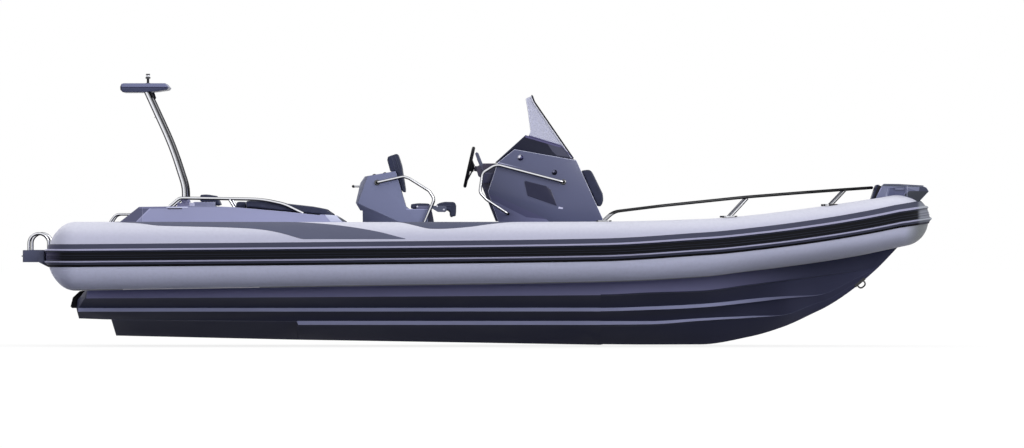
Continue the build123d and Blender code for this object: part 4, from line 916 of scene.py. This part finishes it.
def swell(made, cap):
    # cloth pressure for a few frames, each point's way cut to the cap
    start = coordsOf(made.data).copy()
    cloth = made.modifiers.new("swell", "CLOTH")
    cloth.settings.use_pressure, cloth.settings.uniform_pressure_force = True, padding["pressure"]
    cloth.settings.quality, cloth.settings.mass = padding["quality"], padding["mass"]
    cloth.settings.effector_weights.gravity = 0
    cloth.settings.tension_stiffness, cloth.settings.bending_stiffness = padding["tension"], padding["bending"]
    cloth.point_cache.frame_start, cloth.point_cache.frame_end = 1, padding["frames"]
    for number in range(1, padding["frames"] + 1):
        bpy.context.scene.frame_set(number)
    settled(made)
    bpy.context.scene.frame_set(1)
    way = coordsOf(made.data) - start
    size = np.maximum(np.linalg.norm(way, axis=1), 1e-9)
    putCoords(made.data, start + way * np.minimum(1, cap / size)[:, None])


def cushion(name, part, voxel, cap, body, channels):
    made = piece(name, *part, "upholstery", body, sharp=180)
    remesh = made.modifiers.new("even", "REMESH")
    remesh.mode, remesh.voxel_size, remesh.use_smooth_shade = "VOXEL", voxel, True
    soft = made.modifiers.new("soft", "SMOOTH")
    soft.factor, soft.iterations = 0.5, 2
    settled(made)
    made.data.materials.clear()
    made.data.materials.append(looks["upholstery"])
    putCoords(made.data, coordsOf(made.data) - normalsOf(made.data) * padding["inset"])
    swell(made, cap)
    levels = made.modifiers.new("fine", "SUBSURF")
    levels.levels = levels.render_levels = 1
    settled(made)
    spots, ways = coordsOf(made.data), normalsOf(made.data)
    for axis, place, depth, width in channels:  # sewn channels: a narrow valley across the cushion
        valley = np.exp(-(((spots[:, axis] - place) / width) ** 2)) * depth
        spots = spots - ways * valley[:, None]
    putCoords(made.data, spots)
    smoothed(made.data, 180)
    return made


def loopRound(mesh, point, normal):
    # the closed lines in which a plane cuts the mesh, each as ordered points
    shape = bmesh.new()
    shape.from_mesh(mesh)
    everything = shape.verts[:] + shape.edges[:] + shape.faces[:]
    cut = bmesh.ops.bisect_plane(shape, geom=everything, plane_co=point, plane_no=normal, clear_inner=True,
                                 clear_outer=True)
    nextTo = {}
    for edge in [e for e in cut["geom_cut"] if isinstance(e, bmesh.types.BMEdge)]:
        a, b = edge.verts
        nextTo.setdefault(a, []).append(b)
        nextTo.setdefault(b, []).append(a)
    loops = []
    while nextTo:
        here = next(iter(nextTo))
        line = []
        while here is not None:
            line.append(here.co[:])
            others = [v for v in nextTo.pop(here) if v in nextTo]
            here = others[0] if others else None
        loops.append(np.array(line))
    shape.free()
    return [line for line in loops if len(line) > 12]


def roundCord(line, normal):
    # a closed cord along the line: evenly spaced points of it, eased, then rings of which one way is the normal
    even = spaced(np.concatenate([line, line[:1]]), 0.012, 24, False)
    for _ in range(3):
        even = 0.5 * even + 0.25 * (np.roll(even, 1, 0) + np.roll(even, -1, 0))
    along = np.roll(even, -1, 0) - np.roll(even, 1, 0)
    normal = np.asarray(normal, float) / np.linalg.norm(normal)
    out = np.cross(along, normal)
    out /= np.linalg.norm(out, axis=1)[:, None]
    turn = np.sign(np.sum((even - even.mean(0)) * out))
    ring = hoops(even, out * turn, normal, padding["cord"], padding["cordSides"])
    faces = gridFaces(len(even), padding["cordSides"], wrapRows=True, wrapColumns=True)
    return ring.reshape(-1, 3), (faces[:, ::-1] if turn > 0 else faces)


def piping(made, planes, body):
    points, faces, start = [], [], 0
    for point, normal in planes:
        for line in loopRound(made.data, point, normal):
            ring, quads = roundCord(line, normal)
            points.append(ring)
            faces.append(quads + start)
            start += len(ring)
    if points:
        piece(made.name + "Piping", np.concatenate(points), np.concatenate(faces), "piping", body, sharp=80)


cushions = {
    # node: voxel, how far each pad may swell, body
    "bow_cushions": (0.018, 0.008, "boat"),
    "aft_seat_cushions": (0.016, 0.007, "boat"),
    "aft_side_pads": (0.009, 0.004, "boat"),
    "aft_head_pad": (0.009, 0.004, "boat"),
    "helm_backrest": (0.009, 0.005, "boat"),
    "helm_seat_cushion": (0.008, 0.003, "boat"),
    "helm_bolster": (0.008, 0.004, "bolster"),
    "front_seat_cushions": (0.012, 0.006, "boat"),
    "bow_backrest": (0.008, 0.003, "boat"),
}
level, bowChannels = (0, 0, 1), [(0, 2.05, 0.004, 0.006), (0, 2.3, 0.004, 0.006)]
aftChannels = [(1, -0.24, 0.006, 0.007), (1, 0.24, 0.006, 0.007)]
seams = {
    # node, number of its solid: planes of the piping as point and normal; channels as axis, place, depth, width
    ("bow_cushions", 0): ([((0, 0, 0.546), level)], bowChannels),
    ("bow_cushions", 1): ([((0, 0, 0.546), level)], bowChannels),
    ("bow_cushions", 2): ([((0, 0, 0.546), level)], [(1, 0.0, 0.005, 0.006)]),
    ("aft_seat_cushions", 0): ([((-1.928, 0, 0), (1, 0, 0))], aftChannels),
    ("aft_seat_cushions", 1): ([((0, 0, 0.548), level)], aftChannels),
    ("helm_backrest", 0): ([((-0.672, 0, 1.0), (0.96, 0, 0.27)), ((-0.64, 0, 1.0), (0.96, 0, 0.27))], []),
    ("helm_seat_cushion", 0): ([((0, 0, 0.746), (-0.03, 0, 1))], [(1, 0.0, 0.003, 0.005)]),
    ("helm_bolster", 0): ([((0, 0, 0.738), level)], [(1, 0.0, 0.003, 0.005)]),
    ("aft_head_pad", 0): ([], [(1, 0.0, 0.003, 0.005)]),
    ("front_seat_cushions", 1): ([((0, 0, 0.536), level)], [(1, 0.0, 0.005, 0.006)]),
}
for node, (voxel, cap, body) in cushions.items():
    for number, part in enumerate(islands(node)):
        planes, channels = seams.get((node, number), ((), ()))
        made = cushion(f"{node}_{number}", part, voxel, cap, body, channels)
        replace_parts(made, node)
        piping(made, planes, body)
print("cushions made")


# ---- small fittings: parts turned about an axis or carried across the boat, then put together as pieces
def tube(rings, look, body="boat", sharp=30, flip=False):
    count, sides = rings.shape[:2]
    return rings.reshape(-1, 3), tubeFaces(count, sides, flip), look, body, sharp


def turned(profile, centre, axis, look, body="boat"):
    # profile of (distance along the axis, radius) carried round the axis
    profile = np.asarray(profile, float)
    axis = np.asarray(axis, float) / np.linalg.norm(axis)
    side = np.cross(axis, [0, 0, 1.0] if abs(axis[2]) < 0.9 else [1.0, 0, 0])
    side /= np.linalg.norm(side)
    centres = np.asarray(centre) + profile[:, :1] * axis
    return tube(hoops(centres, side, np.cross(axis, side), profile[:, 1], fittings["steps"]), look, body, 35)


def turnedPair(profile, centre, axis, look, body="boat"):  # one on each side of the boat
    return [turned(profile, np.multiply(centre, (1, s, 1)), np.multiply(axis, (1, s, 1)), look, body) for s in both]


def together(name, parts):  # several parts as one piece, with the first one's look
    points, faces, start = [], [], 0
    for spots, sides, *_ in parts:
        points.append(spots)
        faces += [[i + start for i in face] for face in sides]
        start += len(spots)
    look, body, sharp = parts[0][2:]
    return piece(name, np.concatenate(points), faces, look, body, sharp)


def crown(radius, height, foot=0.0, start=0.0, steps=8):  # a round top's profile: foot + height * sin, radius * cos
    rise = np.linspace(start, pi / 2, steps)
    return [*zip(foot + height * np.sin(rise), np.maximum(radius * np.cos(rise), 1e-4))]


def slab(outline, low, high, ease, look, body="boat"):
    # side-view outline carried across from low to high; both ends draw in by a quarter circle of this ease
    outline = np.asarray(outline, float)
    way = np.roll(outline, -1, 0) - outline
    out = np.stack([way[:, 1], -way[:, 0]], 1) / np.linalg.norm(way, axis=1)[:, None]
    before = np.roll(out, 1, 0)
    corner = (out + before) / (1 + np.sum(out * before, 1))[:, None]
    angle = np.linspace(0, pi / 2, 4)
    inset, near = ease * (1 - np.sin(angle)), low + ease * (1 - np.cos(angle))
    inset, y = np.concatenate([inset, inset[::-1]]), np.concatenate([near, (low + high - near)[::-1]])
    return carried(outline[None] - inset[:, None, None] * corner[None], y, look, body)


def slabPair(outline, near, far, ease, look, body="boat"):  # one on each side of the boat
    return [slab(outline, *sorted((s * near, s * far)), ease, look, body) for s in both]


def carried(outlines, y, look, body):  # one outline for each place across, joined and closed at both ends
    across = np.broadcast_to(np.asarray(y)[:, None], outlines.shape[:2])
    return tube(np.stack([outlines[..., 0], across, outlines[..., 1]], -1), look, body, flip=True)


fittings = {
    "steps": 28,
    # rail flanges: x, distance from the centreline, z, radius
    "flanges": [(-0.833, 0.4, 0.931, 0.023), (0.711, 0.45, 0.935, 0.023)],
    # vent caps: x, z, radius, look
    "vents": [(0.356, 1.137, 0.024, "ventBright"), (0.637, 1.016, 0.022, "ventDark")],
    "hingeBolts": [(-0.3355, 0.735), (-0.2798, 0.707)],
    "leafBolts": [(-0.5, 0.732)],
    "bolt": [(-0.001, 0.0075), *crown(0.0075, 0.005)],
    # arch wing: side outline, height of its tips' ridge, and each tip's rings as width, height and way in
    "wing": [(-2.953, 1.697), (-2.935, 1.679), (-2.745, 1.679), (-2.66, 1.686), (-2.566, 1.7), (-2.554, 1.718),
             (-2.583, 1.752), (-2.925, 1.752), (-2.945, 1.747), (-2.955, 1.722)],
    "wingRidge": 1.7185,
    "wingTips": [(0.985, 0.05, 0.0), (0.992, 0.55, 0.006), (0.998, 0.93, 0.012), (1.0, 1.0, 0.017)],
    "gusset": [(-2.735, 1.69), (-2.697, 1.64), (-2.688, 1.626), (-2.68, 1.638), (-2.698, 1.692)],
    "gussetFromLeg": 0.144, "gussetThick": 0.014,
    "lampCollar": [(0.0, 0.012), (0.007, 0.024), (0.014, 0.013)],
    # fore end of the aft module: a sloping step in front of its side cushions
    "moduleToe": [(-1.3, 0.585), (-1.084, 0.598), (-1.094, 0.61), (-1.172, 0.66), (-1.3, 0.668)],
    "hingeCover": [(-2.39, 0.7), (-2.34, 0.7), (-2.34, 0.762), (-2.384, 0.766)],
    # the slot in the aft module's top: a pale lip as painted highlight, and a dark slab standing proud as the slot's
    # painted shade
    "slotLitLip": [(-2.575, 0.7215), (-2.555, 0.719), (-2.4, 0.719), (-2.385, 0.723), (-2.4, 0.729), (-2.56, 0.729)],
    "slotShadeSlab": [(-2.56, 0.715), (-2.55, 0.712), (-2.445, 0.712), (-2.435, 0.715), (-2.445, 0.7185), (-2.55, 0.7185)],
    "seatStuds": [(-0.857, 0.996), (-0.77, 1.01)],
}
plates = {
    # outline in the side view, from and to across, rounding, look; consolePanel is the console's inner panel, its
    # dark grey partly painted shade
    "consolePanel": ([(0.15, 0.61), (0.24, 0.61), (0.24, 1.08), (0.13, 1.078), (0.055, 1.01), (0.03, 0.915),
                      (0.09, 0.76)], -0.27, 0.27, 0.012, "panelDark"),
    "bowPlate": ([(3.284, 0.8), (3.314, 0.8), (3.352, 0.902), (3.322, 0.908)], -0.215, 0.215, 0.008, "blackMetal"),
    "leverKnob": ([(-0.022, 1.172), (0.012, 1.08), (0.026, 1.062), (0.046, 1.078), (0.006, 1.176), (-0.008, 1.184)],
                  -0.338, -0.312, 0.005, "plate"),
}


def makeFittings():
    # the flanges in the dark steel look: a painted dark reflection
    flanges = []
    for x, y, z, radius in fittings["flanges"]:
        profile = [(-0.001, radius), (0.002, radius), (0.004, radius - 0.003), (0.005, 0.013)]
        flanges += turnedPair(profile, (x, y, z), (0, 1, 0), "steelDark")
    together("railFlanges", flanges)
    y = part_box("console_vents")[1].y - 0.016
    for number, (x, z, radius, look) in enumerate(fittings["vents"]):
        top = radius * 0.92
        profile = [(-0.001, radius), (0.003, radius), (0.004, top), *crown(top, 0.016, 0.004, 0.1, 9)]
        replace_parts(together(f"ventCap{number}", turnedPair(profile, (x, y, z), (0, 1, 0), look)), "console_vents")
    # bolt heads in the pale look: a painted glint
    held = (("hingeBolts", "bolster_arms", "bolster"), ("leafBolts", "bolster_hinge_leaves", "boat"))
    for name, node, body in held:
        y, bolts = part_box(node)[1].y, []
        for x, z in fittings[name]:
            bolts += turnedPair(fittings["bolt"], (x, y, z), (0, 1, 0), "screenLine", body)
        together(name, bolts)


def makeWing():
    # each tip closes in two facets on a ridge that runs fore and aft
    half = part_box("arch_wing")[1].y
    outline, tips = np.array(fittings["wing"], float), fittings["wingTips"]
    centre = np.array([outline[:, 0].mean(), fittings["wingRidge"]])
    flat = np.array([centre + (outline - centre) * (wide, tall) for wide, tall, _ in tips + tips[::-1]])
    y = [-half + inward for _, _, inward in tips]
    made = together("archWing", [carried(flat, y + [-place for place in y[::-1]], "wing", "arch")])
    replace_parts(made, "arch_wing")
    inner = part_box("arch_legs")[1].y - fittings["gussetFromLeg"]
    gussets = slabPair(fittings["gusset"], inner, inner + fittings["gussetThick"], 0.002, "blackMetal", "arch")
    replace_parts(together("archGussets", gussets), "arch_wing")
    low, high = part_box("arch_light_lens")
    centre = (0.5 * (low.x + high.x), 0, low.z)
    together("lampCollar", [turned(fittings["lampCollar"], centre, (0, 0, 1), "blackMetal", "arch")])


def makePlates():
    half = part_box("aft_seat_module")[1].y
    # the slot drawn as a painted highlight and a painted shade
    for name, look, proud in (("slotLitLip", "moduleEdge", 0.002), ("slotShadeSlab", "trim", 0.0035)):
        together(name, slabPair(fittings[name], half - 0.004, half + proud, 0.001, look))
    for name, values in plates.items():
        together(name, [slab(*values)])
    together("moduleToe", slabPair(fittings["moduleToe"], 0.6, half - 0.003, 0.008, "toe"))
    together("hingeCover", slabPair(fittings["hingeCover"], 0.6, 0.68, 0.006, "moduleEdge"))
    grip = [(0.0, 0.004), (0.004, 0.012), (0.336, 0.012), (0.34, 0.004)]
    together("handleGrip", [turned(grip, (-1.031, -0.17, 0.9), (0, 1, 0), "blackMetal")])
    profile, studs = [(-0.001, 0.014), *crown(0.014, 0.007)], []
    for x, z in fittings["seatStuds"]:
        studs += turnedPair(profile, (x, 0.33, z), (-0.17, 0, 0.985), "blackMetal")
    together("seatStuds", studs)


makeFittings()
makeWing()
makePlates()
print("fittings made")


# ---- steering wheel: a moulded rim with finger grips and three dished spokes
wheel = {
    "centre": (-0.07, 0, 1.06), "tilt": 12.8, "radius": 0.161, "thick": 0.014, "grips": 36, "dish": 0.03,
    "spokes": (90, 210, 330), "rimSteps": 216, "rimSides": 20, "spokeSteps": 12, "cap": 0.026,
    "hub": [(-0.042, 0.026), (-0.04, 0.031), (-0.016, 0.033), (-0.008, 0.03), (-0.006, 0.0262)],
}


def wheelFrame():
    tilt = radians(wheel["tilt"])
    axis = np.array([-cos(tilt), 0, sin(tilt)])
    across = np.array([0, 1.0, 0])
    return np.array(wheel["centre"]), across, np.cross(axis, across), axis


def makeWheelRim():
    # torus whose section shrinks a little between the finger grips on the inner side
    centre, across, up, axis = wheelFrame()
    steps, sides = wheel["rimSteps"], wheel["rimSides"]
    u = np.linspace(0, 2 * pi, steps, endpoint=False)[:, None]
    v = np.linspace(0, 2 * pi, sides, endpoint=False)[None, :]
    inner = np.maximum(-np.cos(v), 0)
    thick = wheel["thick"] * (1 - 0.09 * inner * (0.5 - 0.5 * np.cos(wheel["grips"] * u)))
    ring = wheel["radius"] + thick * np.cos(v)
    points = (centre + (ring * np.cos(u))[..., None] * across + (ring * np.sin(u))[..., None] * up
              + (thick * np.sin(v) + 0 * u)[..., None] * axis)
    faces = gridFaces(steps, sides, wrapRows=True, wrapColumns=True)[:, ::-1]
    made = piece("wheelRim", points.reshape(-1, 3), faces, "wheelRim", "steering_wheel", sharp=60)
    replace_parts(made, "steering_wheel_rim")


def makeWheelSpokes():
    # each spoke: a flat section that narrows and climbs from the sunk hub out to the rim
    centre, across, up, axis = wheelFrame()
    share = np.linspace(0, 1, wheel["spokeSteps"])[:, None]
    section = np.array([(-1, -0.6), (-0.8, -1), (0.8, -1), (1, -0.6), (1, 0.6), (0.8, 1), (-0.8, 1), (-1, 0.6)])
    parts = [turned(wheel["hub"], centre, axis, "blackMetal", "steering_wheel")]
    for degree in wheel["spokes"]:
        turn = radians(degree)
        out = cos(turn) * across + sin(turn) * up
        side = -sin(turn) * across + cos(turn) * up
        reach = 0.02 + (wheel["radius"] - 0.026) * share
        sunk = -wheel["dish"] * (1 - share) ** 1.4 - 0.003
        wide, thick = 0.024 - 0.011 * share, 0.007 - 0.0025 * share
        rings = (centre + (reach * out + sunk * axis)[:, None, :] + (wide * section[None, :, 0])[..., None] * side
                 + (thick * section[None, :, 1])[..., None] * axis)
        parts.append(tube(rings, "blackMetal", "steering_wheel", 35))
    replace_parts(together("wheelSpokes", parts), "steering_wheel_spokes")
    profile = [(-0.01, 0.0262), (-0.004, wheel["cap"]), *crown(wheel["cap"], 0.009, -0.004, 0.15)]
    together("wheelCap", [turned(profile, centre, axis, "trim", "steering_wheel")])


makeWheelRim()
makeWheelSpokes()
print("steering wheel made")

# ---- trims: round bars along the windscreen's edges, each in an upright plane
trims = {
    # path in the side view, way out from the screen's edge, radius, look
    # the pale bars along the screen's front and aft edges are painted highlights; the dark ones are its rubber edge
    "screenFront": ([(0.44, 1.642), (0.458, 1.596), (0.69, 1.259), (0.778, 1.133)], 0.002, 0.0046, "screenLine"),
    "screenEdge": ([(0.453, 1.652), (0.471, 1.6), (0.794, 1.131)], 0.003, 0.0052, "rubber"),
    "screenAft": ([(0.401, 1.627), (0.418, 1.531), (0.441, 1.353), (0.425, 1.319)], 0.0005, 0.0028, "screenLine"),
    "screenFoot": ([(0.427, 1.319), (0.695, 1.237), (0.786, 1.132)], 0.003, 0.0045, "gasket"),
}
topBar = {"x": 0.4495, "z": 1.653, "radius": 0.0045, "steps": 60}
barSides = 8


def bar(path, y, radius, look):
    # open cord through (x, z) points in the plane y: corners eased by averaging evenly spaced points
    even = spaced(np.array([(x, y, z) for x, z in path]), 0.01, 6)
    for _ in range(2):
        even[1:-1] = 0.5 * even[1:-1] + 0.25 * (even[2:] + even[:-2])
    across = [0, 1.0, 0]
    out = np.cross(np.gradient(even, axis=0), across)
    out /= np.linalg.norm(out, axis=1)[:, None]
    return tube(hoops(even, out, across, radius, barSides), look, sharp=50, flip=True)


def makeTrims():
    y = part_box("windscreen")[1].y
    for name, (path, offset, radius, look) in trims.items():
        together(name, [bar(path, s * (y + offset), radius, look) for s in both])
    across = np.linspace(-y, y, topBar["steps"])
    line = np.stack([0 * across + topBar["x"], across, 0 * across + topBar["z"]], -1)
    rings = hoops(line, (1, 0, 0), (0, 0, 1), topBar["radius"], barSides)
    together("screenTop", [tube(rings, "rubber", sharp=50, flip=True)])


makeTrims()
print("trims made")

# ---- camera, light and floor
view = {
    "place": (0.285, -165.3, 0.588), "lens": 700, "clip": (1, 600),
    "floorZ": -0.424, "floorReach": 260, "floorSteps": 9,
    "sky": 0.98, "bounce": (0.055, 0.06, 0.085), "glow": 0.8,
    # strength, the way that the light travels, spread in degrees
    "lamps": {"key": (1.6, (-0.72, 1.0, -0.27), 40), "rear": (0.6, (0.5, -0.8, -0.33), 45)},
}


def lamp(name, strength, direction, spread):
    light = bpy.data.lights.new(name, "SUN")
    light.energy, light.angle = strength, radians(spread)
    put(name, light).rotation_euler = Vector(direction).to_track_quat("-Z", "Y").to_euler()


def makeView():
    cameraData = bpy.data.cameras.new("camera")
    cameraData.lens, cameraData.sensor_width = view["lens"], 36
    cameraData.clip_start, cameraData.clip_end = view["clip"]
    camera = put("camera", cameraData)
    camera.location, camera.rotation_euler = view["place"], (pi / 2, 0, 0)
    bpy.context.scene.camera = camera
    for name, (strength, direction, spread) in view["lamps"].items():
        lamp(name, strength, direction, spread)
    bpy.context.scene.view_settings.view_transform = "Standard"


def makeWorld():
    world = bpy.data.worlds.new("studio")
    bpy.context.scene.world = world
    world.use_nodes = True
    g = Graph(world.node_tree)
    strength = g.node("ShaderNodeMapRange", None, {0: g.seen(), 3: view["sky"], 4: 1.0})
    background = g.node("ShaderNodeBackground", None, {"Color": (1, 1, 1, 1), "Strength": strength})
    g.node("ShaderNodeOutputWorld", None, {0: background})


def makeFloor():
    # a flat grid; the camera, mirrors and clear panes see it glow, other rays see a darker floor
    steps = view["floorSteps"]
    across = np.linspace(-1, 1, steps) * view["floorReach"]
    x, y = np.meshgrid(across, across, indexing="ij")
    mesh = bpy.data.meshes.new("floor")
    points = np.stack([x, y, 0 * x + view["floorZ"]], -1).reshape(-1, 3)
    mesh.from_pydata(points.tolist(), [], gridFaces(steps, steps)[:, ::-1].tolist())
    floor = put("floor", mesh)
    f = Finish("floorWhite")
    grain = f.noise(0.8, 2)
    f.surface(Color=f.blend(grain * 0.2, (0.93, 0.93, 0.93, 1), (0.9, 0.9, 0.9, 1)), Roughness=0.9)
    seen = f.seen()
    dim = f.node("ShaderNodeBsdfDiffuse", None, {0: (*view["bounce"], 1)})
    glow = f.node("ShaderNodeEmission", None, {1: 1.0})
    lit = f.node("ShaderNodeMixShader", None, {0: seen * view["glow"], 1: Value(f, f.shader.outputs[0]), 2: glow})
    f.fill(f.end, {0: f.node("ShaderNodeMixShader", None, {0: seen, 1: dim, 2: lit})})
    mesh.materials.append(f.material)


makeView()
makeWorld()
makeFloor()

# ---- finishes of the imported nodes, names parted by spaces
nodeLooks = {
    "hull": "hull",
    "rail": "rub_rail",
    "deck": "deck_liner bow_seat_module",
    "upholstery": "bow_cushions aft_seat_cushions aft_side_pads aft_head_pad helm_backrest helm_seat_cushion "
                  "helm_bolster front_seat_cushions bow_backrest",
    "module": "transom_board aft_seat_module",
    "platform": "swim_platforms",
    "rubber": "stern_pads steering_wheel_rim",
    "steel": "aft_rails stern_rails arch_hinge_bases bolster_hinge_leaves bolster_arms seat_rails "
             "console_vents console_rails",
    "legSteel": "arch_legs",
    "wing": "arch_wing",
    "lens": "arch_light_lens",
    "blackMetal": "arch_light_post steering_wheel_spokes throttle_control",
    "seatSide": "helm_seat_body",
    "console": "console_body",
    "trim": "console_dash bow_step_tread",
    "glass": "windscreen",
    "window": "console_windows",
    "cowl": "steering_pod",
    "bowStep": "bow_step",
    "lampGrey": "bow_side_lights",
    "pulpitSteel": "pulpit_rails",
    "ringSteel": "towing_eyes",
}
for look, names in nodeLooks.items():
    for name in names.split():
        nodes[name].data.materials.clear()
        nodes[name].data.materials.append(looks[look])
print("node finishes set")
